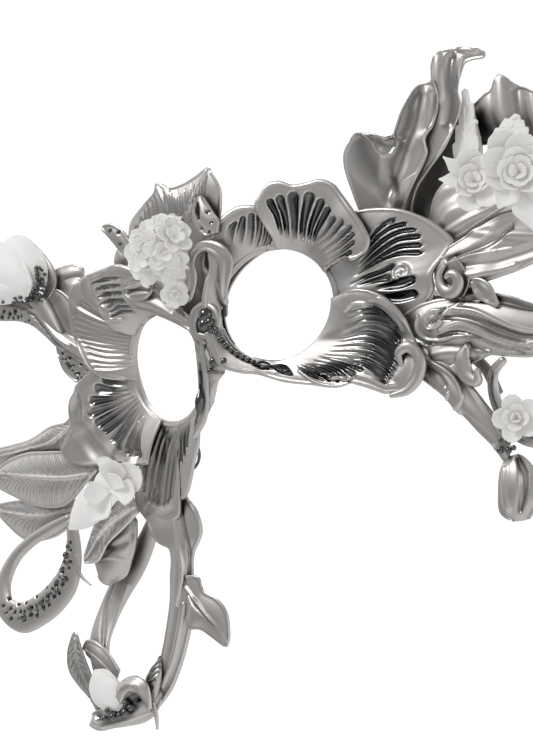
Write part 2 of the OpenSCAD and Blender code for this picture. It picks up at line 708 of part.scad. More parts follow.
module knot_cup() {
    color(SILVER) leaf(
        [[-152, 4, -131], [-143, 2, -132], [-135, 1, -131], [-128, 1, -126], [-120, 2, -126], [-114, 3, -130],
            [-110, 5, -136]],
        [[-156, 4, -135], [-150, 2, -139], [-141, 1, -141], [-133, 1, -143], [-124, 2, -145], [-117, 3, -144],
            [-111, 5, -139]],
        5, 14, 4, 2);
}

module knot_leaves() {
    color(SILVER) {
        leaf([[-148, 6, -91], [-154, 5, -98], [-157, 5, -106], [-155, 5, -114], [-151, 5, -123], [-150, 5, -130]],
            [[-147, 6, -92], [-147, 5, -101], [-147, 5, -110], [-147, 5, -118], [-146, 5, -124], [-146, 5, -130]],
            1.5);
        leaf([[-148, 9, -99], [-144, 9, -97], [-138, 8, -101], [-134, 8, -108], [-131, 7, -117]],
            [[-147, 9, -102], [-145, 9, -106], [-142, 8, -111], [-140, 8, -117], [-137, 7, -122]], 1.5, 8);
    }
}

module knot_petal() {
    color(PORCELAIN) leaf(
        [[-143, 1, -114], [-137, 0, -116], [-131, 0, -121], [-127, 0, -127], [-129, -1, -133]],
        [[-146, 1, -118], [-147, 0, -124], [-144, 0, -130], [-140, 0, -134], [-134, -1, -135]], 4, 8);
}

// ---------- the assembly ----------

face_plate();
face_lining();
eye_rims();
temple_lugs();
lug_rivets();
wing_frame();
tie_ring_right();
tie_ring_left();
petal_right_inner();
petal_right_brow();
petal_right_outer();
petal_right_cheek();
petal_left_brow();
petal_left_outer();
petal_left_back();
petal_left_cheek();
petal_left_long();
petal_left_nose();
bridge_volute();
bridge_beads();
bridge_ribbon_loop();
bridge_ribbon_leaf();
bridge_strip();
forehead_leaf();
dotted_leaves();
forehead_blossoms();
forehead_floret();
plume_front();
plume_tall();
plume_rear();
white_leaves();
star_flower();
white_rose();
pale_drape();
drape_leaf();
drape_curls();
scroll_arm_upper();
scroll_arm_lower();
scroll_curl();
right_loop();
right_loop_flower();
right_loop_leaf();
flower_bud();
bud_sepal();
bud_arm();
feather_leaf_rear();
feather_leaf_upper();
feather_leaf_lower();
left_blossom();
veined_leaf();
seed_pod();
inner_ring();
inner_ring_beads();
outer_stem_left();
outer_stem_right();
fork_leaf();
knot_cup();
knot_leaves();
knot_petal();
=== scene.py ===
"""Looks of an ornamental half mask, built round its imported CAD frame: cast silver petals with deep
polished flutes, scrolled leaves and hanging loops, polished balls, and porcelain flowers.

Lengths are in millimetres until a mesh is made. An eye's own plane has x across, y up and z out of
the face; a stroke is drawn in that plane for a petal, and in the X-Z plane for everything else.
"""
import math

import bpy
import numpy as np
from mathutils import Matrix, Vector


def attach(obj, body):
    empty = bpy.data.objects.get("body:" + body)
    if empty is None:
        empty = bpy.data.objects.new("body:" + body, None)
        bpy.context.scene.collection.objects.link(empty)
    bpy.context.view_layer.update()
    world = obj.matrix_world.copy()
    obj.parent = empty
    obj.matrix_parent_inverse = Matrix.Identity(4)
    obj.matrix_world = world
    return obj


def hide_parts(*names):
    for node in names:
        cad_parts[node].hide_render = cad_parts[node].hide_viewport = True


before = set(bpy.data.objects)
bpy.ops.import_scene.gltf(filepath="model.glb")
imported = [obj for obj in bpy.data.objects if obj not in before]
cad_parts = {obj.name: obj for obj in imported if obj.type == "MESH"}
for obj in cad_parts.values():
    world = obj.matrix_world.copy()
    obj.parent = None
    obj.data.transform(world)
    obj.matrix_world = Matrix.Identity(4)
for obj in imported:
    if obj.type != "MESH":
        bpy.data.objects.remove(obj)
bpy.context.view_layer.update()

# From the CAD: half width and height of the openings, their angle on the face, the face's radius,
# the radius of the plate's front, and the thickness of cast leaves
EYE_W, EYE_H, EYE_ANGLE = 28.0, 25.7, 18.0
FACE_R, PLATE_FRONT = 110.0, 113.2
LEAF_T = 1.6
METRES = 0.001
FRONT = np.array([0.0, -1.0, 0.0])
# Trumpet petals: the gap between an opening's edge and their feet, and how steeply they start to rise
FOOT_GAP, FLARE = 0.4, 1.7
# Lip of a petal: its distance from the edge, which is also its half width, and its height
LIP = (0.8, 0.4)
# Share of a sheet's relief that shows on its back
EMBOSS = 0.7
# A flower petal's hollow, its foot's distance from the centre, and where it is widest
PETAL_CUP, PETAL_FOOT, WIDEST = 0.25, 0.1, 0.62


# ---------- camera ----------

def camera_axes(azimuth, elevation, roll):
    """Right, up and back directions of a camera, from its angles in degrees"""
    a, e, r = (math.radians(v) for v in (azimuth, elevation, roll))
    back = Vector((math.sin(a) * math.cos(e), -math.cos(a) * math.cos(e), math.sin(e)))
    level = Vector((math.cos(a), math.sin(a), 0))
    upward = back.cross(level)
    right = level * math.cos(r) - upward * math.sin(r)
    return right, level * math.sin(r) + upward * math.cos(r), back


# The photograph's viewing angle, and the point in metres that its middle shows
RIGHT, UP, BACK = camera_axes(azimuth=35, elevation=-12, roll=21)
TARGET = Vector((0, 0.00234, 0)) + RIGHT * 0.01986 - UP * 0.01565
CAMERA_DISTANCE, LENS = 2.0, 208.2


def add_camera():
    data = bpy.data.cameras.new("camera")
    data.lens = LENS
    data.sensor_width = 36
    data.clip_end = 20
    cam = bpy.data.objects.new("camera", data)
    bpy.context.scene.collection.objects.link(cam)
    cam.location = TARGET + BACK * CAMERA_DISTANCE
    cam.rotation_mode = "QUATERNION"
    cam.rotation_quaternion = Matrix((RIGHT, UP, BACK)).transposed().to_quaternion()
    bpy.context.scene.camera = cam


# ---------- curves and strokes ----------

STROKE_STEPS = np.linspace(0, 1, 29)


def curve(points, t):
    """Smooth curve through the points, at each t from 0 to 1"""
    p = np.array(points, float)
    flat = p.reshape(len(p), -1)
    s = np.clip(np.atleast_1d(t), 0, 0.99999) * (len(p) - 1)
    i = s.astype(int)
    u = (s - i)[:, None]
    a, b, c, d = flat[np.maximum(i - 1, 0)], flat[i], flat[i + 1], flat[np.minimum(i + 2, len(p) - 1)]
    out = (2 * b + (c - a) * u + (2 * a - 5 * b + 4 * c - d) * u ** 2 + (3 * b - a - 3 * c + d) * u ** 3) / 2
    return out.reshape((len(s),) + p.shape[1:])


def scatter(k, step=0.618, first=0.0):
    """Uneven share from 0 to 1 for the k-th of a row"""
    return (k * step + first) % 1


def groove(path, half=1.0, depth=0.8, polish_and_painted_dark=1.0, shine=0.3, taper=0.0):
    """Hollow stroke; taper is how much of its length it takes to fade out at its far end"""
    return path, half, -depth, polish_and_painted_dark, shine, taper


# A ridge's shine paints it paler, a painted highlight that is partly burnish
def ridge(path, half=0.8, height=0.5, shine=0.3, polish_and_painted_dark=0.0):
    return path, half, height, polish_and_painted_dark, shine, 0.0


# Their polish paints the flutes near-black, a painted dark reflection
def flutes(lines, count, depth, fill=1.0, polish_and_painted_dark=1.0, shine=0.3, taper=0.5):
    """Grooves side by side, spread evenly between the centre lines given, from wide ends to tips"""
    paths = [curve(lines, k / (count - 1))[0] for k in range(count)]
    made = []
    for k, path in enumerate(paths):
        run = unit(np.gradient(path, axis=0))
        gaps = []
        for other in paths[max(k - 1, 0):k] + paths[k + 1:k + 2]:
            away = other - path
            gaps.append(np.linalg.norm(away - run * (away * run).sum(-1, keepdims=True), axis=1))
        half = np.maximum(fill * np.mean(gaps, axis=0) / 2, 0.35)
        uneven = scatter(k)
        made.append(groove(path, list(half), depth * (0.75 + 0.5 * uneven), polish_and_painted_dark * (1 - 0.3 * uneven),
                           shine, taper))
    return made


def spiral(centre, r0, r1, a0, a1, count=12):
    """Points of a spiral from radius r0 at angle a0 to radius r1 at angle a1"""
    made = []
    for k in range(count):
        f = k / (count - 1)
        a, r = math.radians(a0 + (a1 - a0) * f), r0 + (r1 - r0) * f
        made.append([centre[0] + r * math.cos(a), centre[1] + r * math.sin(a)])
    return made


def edge(points):
    """An edge's points seen from the front"""
    return [[p[0], p[2]] for p in points]


def fold(path, half, height, polish_and_painted_dark=0.0):
    """Soft swell, or hollow where the height is negative; it adds to what else marks the sheet, and its
    polish paints it dark, a painted shade
    """
    return path, half, height, polish_and_painted_dark, 0.0, None


def veins(spine, outer, count, half=0.45, depth=0.3, lean=0.12, shine=0.5):
    """Fine grooves of uneven length from a spine to an outer edge, leaning towards its tip"""
    made = []
    for k in range(count):
        f = (k + 0.5) / count * (1 - lean)
        uneven, other = scatter(k), scatter(k, 0.382, 0.3)
        a, b = curve(spine, f)[0], curve(outer, f + lean)[0]
        middle = a + (b - a) * 0.5 + (curve(spine, f + lean)[0] - a) * 0.12
        start, end = a + (b - a) * (0.04 + 0.22 * uneven), a + (b - a) * (0.97 - 0.25 * other)
        made.append(groove([start, middle, end], [half * 0.5, half, half * 0.4], depth * (0.6 + 0.6 * uneven),
                           0.25, shine))
    return made


def vein_pair(spine, one, other, count, *sizes, **looks):
    """Veins from a spine to both edges"""
    return veins(spine, one, count, *sizes, **looks) + veins(spine, other, count, *sizes, **looks)


def beside(path, t, off):
    """Points at t along a drawn path, moved sideways to its left by off"""
    t = np.atleast_1d(t)
    run = unit(curve(path, t + 0.01) - curve(path, t - 0.01))
    return curve(path, t) + np.stack([-run[:, 1], run[:, 0]], -1) * np.reshape(off, (-1, 1))


def pits(path, count, offs, size=1.2, depth=1.0):
    """Round polished pits of uneven size along a path, taking its side offsets in turn"""
    made = []
    for k in range(count):
        spot = beside(path, (k + 0.5) / count, offs[k % len(offs)] + 0.8 * math.sin(5 * k))[0]
        r = size * (0.55 + 0.6 * scatter(k))
        made.append(groove([spot, spot + [0.3, 0]], r, depth, 1.0, 0.9))
    return made


def dots(spots, r, reach):
    """Round pits of one size, each a little longer across"""
    return [groove([[x, z], [x + reach, z]], r, 0.8, 0.9) for x, z in spots]


def toothed(points, count, size):
    """An edge with teeth that lean towards its tip"""
    t = np.linspace(0, 1, 8 * count + 1)
    p = curve(points, t)
    out = unit(np.cross(np.gradient(p, axis=0), FRONT))
    return p + out * (size * ((t * count) % 1) * (t < 1))[:, None]


def unit(v):
    return v / np.maximum(np.linalg.norm(v, axis=-1, keepdims=True), 1e-9)


def size_at(value, t):
    """A size at each t: the same all along for a number, or a smooth run through a list"""
    return curve(value, t) if isinstance(value, (list, tuple)) else np.full(len(t), float(value))


def relief(plane, marks):
    """Height, polish and shine that the strokes give to points of the drawing plane; the polish also paints
    them near-black, a painted dark reflection in grooves and a painted shade in folds, and the shine paints
    them paler along raised strokes and the rims of grooves, a painted highlight that is partly burnish
    """
    cut, rise, swell, polish_and_painted_dark, shine = (np.zeros(plane.shape[:-1]) for _ in range(5))
    for path, half, height, dark, bright, taper in marks:
        line = curve(path, STROKE_STEPS)
        width = size_at(half, STROKE_STEPS)
        reach = width.max() * 1.8
        near = ((plane > line.min(0) - reach) & (plane < line.max(0) + reach)).all(-1)
        if not near.any():
            continue
        run = np.diff(line, axis=0)
        rel = plane[near][:, None] - line[:-1]
        s = np.clip((rel * run).sum(-1) / np.maximum((run * run).sum(-1), 1e-9), 0, 1)
        gap = np.linalg.norm(rel - s[..., None] * run, axis=-1)
        ratio = gap / (width[:-1] + s * np.diff(width))
        k = ratio.argmin(-1)[..., None]
        x = np.take_along_axis(ratio, k, -1)[..., 0]
        if taper is None:
            body = np.clip(1 - x * x, 0, 1) ** 2
            swell[near] += height * body
            # a fold's polish paints it dark, a painted shade
            polish_and_painted_dark[near] = np.maximum(polish_and_painted_dark[near], dark * body)
            continue
        along = (k[..., 0] + np.take_along_axis(s, k, -1)[..., 0]) / len(run)
        fade = np.clip((1 - along) / taper, 0, 1) if taper else 1.0
        body = np.clip(1 - x * x, 0, 1) ** (1.0 if taper else 1.5) * fade
        if height < 0:
            cut[near] = np.minimum(cut[near], height * body)
            # painted highlight along each groove's rim, where its ridge would catch the light
            shine[near] = np.maximum(shine[near], bright * fade * np.clip(1 - abs(x - 1.02) / 0.12, 0, 1))
        else:
            rise[near] = np.maximum(rise[near], height * body)
            # painted highlight over a raised stroke, partly burnish
            shine[near] = np.maximum(shine[near], bright * np.clip(1.2 - x / 0.6, 0, 1))
        # a groove's polish paints its hollow dark, a painted dark reflection
        polish_and_painted_dark[near] = np.maximum(polish_and_painted_dark[near], dark * fade * np.clip((1 - x) / 0.12, 0, 1))
    return cut + rise + swell, polish_and_painted_dark, shine * (1 - polish_and_painted_dark)


# ---------- solids: (points, [face arrays], polish, shine) ----------

def sheet(grid, front, t=LEAF_T, plane=None, marks=()):
    """Closed sheet on a grid of points, with a rounded rim; strokes mark its front and dent its back"""
    rows, cols = grid.shape[0] - 1, grid.shape[1] - 1
    normal = unit(np.cross(np.gradient(grid, axis=0), np.gradient(grid, axis=1)))
    flip = (normal @ front).mean() < 0
    if flip:
        normal = -normal
    high, polish_and_painted_dark, shine = relief(grid[..., [0, 2]] if plane is None else plane, marks)
    face = grid + normal * (t / 2 + high)[..., None]
    back = grid + normal * (EMBOSS * high - t / 2)[..., None]
    around = ([(0, j) for j in range(cols)] + [(i, cols) for i in range(rows)]
              + [(rows, j) for j in range(cols, 0, -1)] + [(i, 0) for i in range(rows, 0, -1)])
    ri, ci = np.array(around).T
    inner = grid[np.clip(ri, 1, rows - 1), np.clip(ci, 1, cols - 1)]
    out = grid[ri, ci] - inner
    n = normal[ri, ci]
    out = unit(out - n * (out * n).sum(-1, keepdims=True))
    rings = [grid[ri, ci] + n * (math.cos(a) * t / 2 + high[ri, ci] * (1 + math.cos(a)) / 2)[..., None]
             + out * math.sin(a) * t / 2 for a in (math.pi / 4, math.pi / 2, 3 * math.pi / 4)]
    size = (rows + 1) * (cols + 1)
    index = np.arange(size).reshape(rows + 1, cols + 1)
    top = np.stack([index[:-1, :-1], index[1:, :-1], index[1:, 1:], index[:-1, 1:]], -1).reshape(-1, 4)
    loops = ([index[ri, ci]] + [2 * size + k * len(ri) + np.arange(len(ri)) for k in range(3)]
             + [index[ri, ci] + size])
    sides = [np.stack([a, np.roll(a, -1), np.roll(b, -1), b], -1) for a, b in zip(loops[:-1], loops[1:])]
    faces = np.concatenate([top, top[:, ::-1] + size] + sides)
    plain = np.zeros(size + len(ri) * 3)
    return (np.concatenate([face.reshape(-1, 3), back.reshape(-1, 3)] + rings),
            [faces[:, ::-1] if flip else faces],
            np.concatenate([polish_and_painted_dark.ravel(), plain]), np.concatenate([shine.ravel(), plain]))


def tube(rings, polish_and_painted_dark=None, shine=None):
    """Closed solid through rings of points, its ends closed flat"""
    count, sides = rings.shape[:2]
    index = np.arange(count * sides).reshape(count, sides)
    nxt = np.roll(index, -1, 1)
    quads = np.stack([index[:-1], index[1:], nxt[1:], nxt[:-1]], -1).reshape(-1, 4)
    zero = np.zeros(count * sides)
    return (rings.reshape(-1, 3), [quads, index[:1], index[-1:, ::-1]],
            zero if polish_and_painted_dark is None else polish_and_painted_dark.ravel(), zero if shine is None else shine.ravel())


def fine(length):
    return max(8, int(length / (0.6)))


def length_of(points):
    return float(np.linalg.norm(np.diff(curve(points, np.linspace(0, 1, 40)), axis=0), axis=1).sum())


def leaf(a, b, bow=2, t=LEAF_T, marks=(), rims=None):
    """Sheet between two edge curves; bow pushes its middle forward, and rims gives its edges a bead"""
    if rims:
        marks = list(marks) + [ridge(edge(a), *rims), ridge(edge(b), *rims)]
    u = np.linspace(0, 1, fine(max(length_of(a), length_of(b))) + 1)
    pa, pb = curve(a, u), curve(b, u)
    s = np.linspace(0, 1, fine(np.linalg.norm(pa - pb, axis=1).max()) + 1)
    grid = pa[:, None] * (1 - s[:, None]) + pb[:, None] * s[:, None]
    grid[..., 1] -= bow * 4 * s * (1 - s) * np.sin(math.pi * u)[:, None]
    return sheet(grid, FRONT, t, marks=marks)


def lobe(left, right, near, far, bow=2, t=0.9, rims=(0.45, 0.3), marks=()):
    """Thin petal from its foot to its tip between two drawn edges; near and far are Y at foot and tip"""
    a, b = ([[x, near + (far - near) * k / (len(side) - 1), z] for k, (x, z) in enumerate(side)]
            for side in (left, right))
    return leaf(a, b, bow, t, marks=marks, rims=rims)


def eye_axes(side):
    """Origin and axes of an eye's own frame"""
    a = math.radians(EYE_ANGLE) * side
    z = np.array([math.sin(a), -math.cos(a), 0])
    return np.array([0, FACE_R, 0]) + z * PLATE_FRONT, np.array([[math.cos(a), math.sin(a), 0], [0, 0, 1], z])


def at_eye(side, points):
    """Points of an eye's own frame, in the mask's"""
    origin, axes = eye_axes(side)
    return origin + np.asarray(points, float) @ axes


def petal(side, start, end, rim, foot=(1.8, 1.8), marks=()):
    """Trumpet petal from the opening's edge, between two angles, to the curve of rim points, each
    (angle, radius, height)"""
    q = np.array([[r * math.cos(math.radians(a)), r * math.sin(math.radians(a)), z] for a, r, z in rim])
    marks = list(marks) + [ridge([v[:2] * (1 - LIP[0] / np.linalg.norm(v[:2])) for v in q], *LIP)]
    u = np.linspace(0, 1, fine(length_of(q)) + 1)
    s = np.linspace(0, 1, fine(30) + 1)[None, :, None]
    a = np.radians(start + (end - start) * u)
    low = foot[0] + (foot[1] - foot[0]) * u
    p = np.stack([(EYE_W + FOOT_GAP) * np.cos(a), (EYE_H + FOOT_GAP) * np.sin(a), low], -1)[:, None]
    q = curve(q, u)[:, None]
    grid = p + (q - p) * s
    grid[..., 2] = p[..., 2] + (q - p)[..., 2] * (1 - (1 - s[..., 0]) ** FLARE)
    axes = eye_axes(side)[1]
    return sheet(at_eye(side, grid), axes[2], plane=grid[..., :2], marks=marks)


def bar(path, half_w, half_d, marks=()):
    """Oval bar with rounded ends; strokes mark its front"""
    steps = fine(length_of(path))
    t = np.linspace(0, 1, steps + 1)
    mid = curve(path, t)
    along = unit(np.gradient(mid, axis=0))
    across = unit(np.cross(along, FRONT))
    out = np.cross(across, along)
    w, d = size_at(half_w, t), size_at(half_d, t)
    # 20 sides, or up to 90 of about 0.7 mm where strokes have to show
    sides = 20 if not marks else int(np.clip(math.pi * (w.max() + d.max()) / 0.7, 20, 90))
    caps = np.radians([80, 65, 45, 22])
    small = np.minimum(w, d)

    def cap(end, way, c):
        return (mid[end] + way * along[end] * small[end] * math.sin(c), across[end], out[end],
                w[end] * math.cos(c), d[end] * math.cos(c))

    head, tail = [cap(0, -1, c) for c in caps], [cap(-1, 1, c) for c in caps[::-1]]
    body = list(zip(mid, across, out, w, d))
    mid, across, out, w, d = (np.array(v) for v in zip(*(head + body + tail)))
    k = np.linspace(0, 2 * math.pi, sides, endpoint=False)
    cos, sin = np.cos(k)[None, :, None], np.sin(k)[None, :, None]
    ring = mid[:, None] + across[:, None] * w[:, None, None] * cos + out[:, None] * d[:, None, None] * sin
    normal = unit(across[:, None] * d[:, None, None] * cos + out[:, None] * w[:, None, None] * sin)
    high, polish_and_painted_dark, shine = relief(ring[..., [0, 2]], marks)
    facing = np.clip(sin[..., 0] * 3, 0, 1)
    return tube(ring + normal * (high * facing)[..., None], polish_and_painted_dark * facing, shine * facing)


def ball(centre, r, squash=(1, 1, 1), around=20, rows=12):
    """Ball, or an egg where squash is uneven"""
    phi = np.radians(np.linspace(-86, 86, rows))[:, None]
    k = np.linspace(0, 2 * math.pi, around, endpoint=False)[None]
    rings = np.stack([np.cos(phi) * np.cos(k), np.cos(phi) * np.sin(k), np.sin(phi) + 0 * k], -1)[::-1]
    return tube(np.asarray(centre, float) + rings * r * np.array(squash))


# ---------- flowers ----------

def facing_axes(yaw, pitch=0, roll=0):
    """Axes of a flower that faces the front, turned yaw degrees to the right and pitch degrees up"""
    a, e, r = (math.radians(v) for v in (yaw, pitch, roll))
    z = np.array([math.sin(a) * math.cos(e), -math.cos(a) * math.cos(e), math.sin(e)])
    x = np.array([math.cos(a), math.sin(a), 0])
    y = np.cross(z, x)
    return np.array([x * math.cos(r) + y * math.sin(r), y * math.cos(r) - x * math.sin(r), z])


def flower_petal(centre, axes, angle, length, width, lift, curl, tip, t):
    """One cupped petal: lift is its slope at the foot and curl what it gains by its tip, in degrees"""
    n = 7 if length < 5 else 12
    s = np.linspace(0, 1, n + 3)
    slope = np.radians(lift + curl * s)
    step = length / (n + 2)
    along = PETAL_FOOT * length + np.concatenate([[0], np.cumsum(np.cos(slope[1:]) * step)])
    rise = np.concatenate([[0], np.cumsum(np.sin(slope[1:]) * step)])
    half = width / 2 * (0.18 + 0.82 * np.sin(math.pi / 2 * np.clip(s / WIDEST, 0, 1)) ** 1.2)
    half *= np.clip((1 - s) / (1 - WIDEST), 0, 1) ** tip * (s > WIDEST) + (s <= WIDEST)
    v = np.linspace(-1, 1, n)[None, :]
    half = np.maximum(half, 0.05 * width)[:, None]
    local = np.stack([along[:, None] + 0 * v, v * half, rise[:, None] + PETAL_CUP * half * v * v], -1)
    a = math.radians(angle)
    turn = np.array([[math.cos(a), math.sin(a), 0], [-math.sin(a), math.cos(a), 0], [0, 0, 1]])
    grid = np.asarray(centre, float) + local @ turn @ axes
    return sheet(grid, axes[2], t)


def petals(centre, axes, rows, t=0.7):
    """Petals round a centre, each (angle, length, width, lift, curl, tip, height)"""
    return [flower_petal(np.asarray(centre, float) + axes[2] * height, axes, *sizes, t=t)
            for *sizes, height in rows]


def bloom(centre, axes, rings, t=0.7, start=0):
    """Rings of like petals round a centre, each (count, length, width, lift, curl, tip, height)"""
    return petals(centre, axes, [(start + 360 * (i + 0.5 * (k % 2)) / count, *sizes)
                                 for k, (count, *sizes) in enumerate(rings) for i in range(count)], t)


# ---------- pieces ----------

def piece(name, solids, material, slot_name, *replaced):
    """One smooth mesh from the solids, in metres, which rides with the mask and may replace CAD nodes"""
    points = np.concatenate([s[0] for s in solids])
    arrays, first = [], 0
    for s in solids:
        arrays += [f + first for f in s[1]]
        first += len(s[0])
    mesh = bpy.data.meshes.new(name)
    mesh.vertices.add(len(points))
    mesh.vertices.foreach_set("co", (points * METRES).astype(np.float32).ravel())
    corners = np.concatenate([f.ravel() for f in arrays])
    sizes = np.concatenate([np.full(len(f), f.shape[1]) for f in arrays])
    mesh.loops.add(len(corners))
    mesh.loops.foreach_set("vertex_index", corners.astype(np.int32))
    mesh.polygons.add(len(sizes))
    mesh.polygons.foreach_set("loop_start", np.concatenate([[0], np.cumsum(sizes)[:-1]]).astype(np.int32))
    for title, k in (("polish_and_painted_dark", 2), ("shine", 3)):
        layer = mesh.attributes.new(title, "FLOAT", "POINT")
        layer.data.foreach_set("value", np.concatenate([s[k] for s in solids]).astype(np.float32))
    mesh.update(calc_edges=True)
    mesh.validate()
    mesh.shade_smooth()
    mesh.materials.append(material)
    made = bpy.data.objects.new(name, mesh)
    bpy.context.scene.collection.objects.link(made)
    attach(made, "mask")
    if replaced:
        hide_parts(*replaced)
    return made


def petal_right_inner():
    marks = flutes(
        [[[-2, 42], [-5, 40], [-9, 35]], [[5, 42], [2, 37], [-3, 31]], [[11, 39], [7, 33], [1, 28]],
         [[13, 33], [9, 29], [3, 25]]], 6, 1.6, 0.9, polish_and_painted_dark=0.85, shine=1, taper=0.6)
    return [petal(1, 170, 66,
        [[170, 35, 5], [155, 35, 6], [140, 35, 7], [128, 36, 7], [116, 42, 9], [107, 45, 10], [98, 47, 11],
         [88, 48, 10], [78, 46, 10], [68, 43, 9]], marks=marks)]


def petal_right_brow():
    marks = (flutes(
            [[[18, 43], [18, 36], [16, 28]], [[27, 41], [24, 32], [20, 25]], [[38, 36], [30, 28], [25, 21]],
             [[42, 28], [34, 23], [28, 18]]], 6, 2, 0.88, shine=1, taper=0.3)
        + flutes(
            [[[43, 23], [37, 20], [28, 18]], [[49, 16], [41, 14], [31, 13]], [[48, 9], [41, 8], [32, 8]],
             [[42, 3], [38, 4], [32, 5]]], 7, 1.6, 0.9, polish_and_painted_dark=0.8, shine=1, taper=0.7))
    return [petal(1, 68, 10,
        [[68, 34, 8], [73, 40, 11], [76, 46, 13], [72, 51, 13], [68, 55, 13], [62, 56, 13], [56, 55, 13],
         [50, 57, 13], [44, 61, 13], [38, 62, 13], [32, 60, 13], [23, 58, 14], [14, 57, 14], [7, 56, 14],
         [3, 52, 13], [3, 46, 12], [7, 40, 10], [10, 34, 8]], foot=(4, 4), marks=marks)]


def petal_right_outer():
    marks = (flutes(
            [[[69, 11], [64, 11], [57, 9], [50, 5]], [[76, 4], [68, 6], [57, 5], [46, 1]],
             [[77, -2], [67, 1], [55, 0], [44, -2]], [[75, -8], [65, -4], [53, -3], [41, -4]]], 6, 1.8, 0.82,
            shine=1, taper=0.2)
        + flutes([[[60, -8], [54, -8], [46, -7], [37, -7]], [[56, -12], [52, -11], [47, -10], [41, -9]]], 2,
            1.2, fill=0.9, taper=0.3)
        + [
            groove([[67, -18], [60, -17], [49, -14]], [2.3, 2.5, 1], 1.7, 1, 0.6, 0.3),
            groove([[65, -24], [57, -22], [48, -18]], [2.4, 2.6, 1], 1.7, 1, 0.6, 0.3)]
        + [ridge(spiral([64, -13], 4.8, 1.2, 200, -230), 1, 1.1, 0.6),
            # Broad low ridge painted paler, a painted highlight on the slope by the opening
            ridge([[30, 15], [34, 7], [37, -4], [42, -15]], 9, 0.2, 1)])
    return [petal(1, 24, -30,
        [[24, 56, 10], [20, 62, 10], [15, 69, 11], [10, 76, 12], [4, 83, 12], [-1, 88, 12], [-6, 92, 12],
         [-9, 88, 12], [-12, 82, 12], [-15, 79, 12], [-19, 79, 11], [-23, 75, 9], [-29, 65, 7]],
        foot=(1.8, 1), marks=marks)]


def petal_right_cheek():
    marks = (flutes(
            [[[49, -27], [46, -24], [40, -21], [33, -19]], [[51, -34], [48, -30], [41, -25], [29, -24]],
             [[49, -43], [45, -36], [38, -30], [25, -28]], [[46, -49], [42, -41], [35, -35], [21, -30]],
             [[43, -53], [38, -45], [31, -39], [16, -32]], [[38, -56], [34, -48], [28, -42], [12, -32]]], 10,
            1.3, shine=0.8, taper=0.45)
        + flutes(
            [[[29, -46], [23, -41], [18, -37], [11, -32]], [[21, -46], [17, -40], [12, -36], [6, -33]],
             [[15, -45], [12, -40], [7, -35], [3, -32]], [[10, -43], [6, -39], [2, -34], [0, -31]]], 6, 1.3,
            shine=0.5, taper=0.5)
        + [
            # Bowl of the petal painted near-black, a painted dark reflection
            fold([[45, -24], [49, -34], [46, -44], [39, -52]], [6, 9, 9, 6], -2.2, 0.95),
            fold([[26, -42], [17, -41], [9, -39]], [4, 5, 3], -1.4, 0.6),
            groove(
                [
                    [(EYE_W + 2) * math.cos(math.radians(a)), (EYE_H + 2) * math.sin(math.radians(a))]
                    for a in (184, 198, 212, 226, 238)], [0.8, 1.3, 1.3, 1.2, 0.6], 1, 0.7, 0.4),
            groove([[-20, -22], [-16, -24], [-12, -27]], [0.6, 2.2, 1], 1.4, 1, 0.6),
            groove([[-11, -27], [-7, -30], [-4, -34]], [1, 2.4, 0.8], 1.4, 1, 0.6),
            ridge([[-19, -24], [-13, -25]], 0.4, 0.8, 1),
            ridge([[-11, -30], [-5, -31]], 0.4, 0.8, 1),
            ridge([[-9, -28], [-5, -33]], 0.4, 0.8, 1),
            ridge([[50, -20], [54, -26], [57, -35], [58, -43]], 1, 0.7),
            ridge([[32, -18], [38, -17], [44, -20], [49, -24], [52, -30], [53, -37], [51, -44]], 0.8, 0.6),
            ridge([[0, -34], [5, -41], [11, -46], [19, -49], [25, -47], [31, -51], [36, -56], [42, -59]], 1,
                0.7),
            # Broad low ridge painted paler, a painted highlight on the slope
            ridge([[31, -12], [36, -22], [34, -32], [24, -38]], 5, 0.2, 0.7)])
    return [
        petal(1, -20, -180,
            [[-18, 34, 7], [-16, 40, 11], [-17, 47, 13], [-20, 54, 14], [-25, 61, 14], [-30, 66, 13],
             [-35, 70, 10], [-40, 75, 11], [-45, 78, 12], [-50, 79, 12], [-55, 77, 11], [-59, 71, 10],
             [-62, 60, 9], [-66, 54, 8], [-74, 50, 8], [-86, 42, 7], [-101, 37, 6], [-115, 34, 5],
             [-128, 33, 5], [-141, 35, 5], [-156, 38, 5], [-170, 37, 5], [-182, 36, 5]], foot=(4.5, 1.8),
            marks=marks),
        bar(
            at_eye(1,
                [[48, -52, 12], [49, -47, 13], [54, -46, 14], [57, -50, 14], [57, -56, 14], [53, -61, 13],
                 [46, -64, 12], [38, -63, 11]]), [1.4, 2.2, 2.8, 3, 3, 2.8, 2.2, 1.2],
            [1.2, 1.6, 2, 2, 2, 1.8, 1.5, 1])]


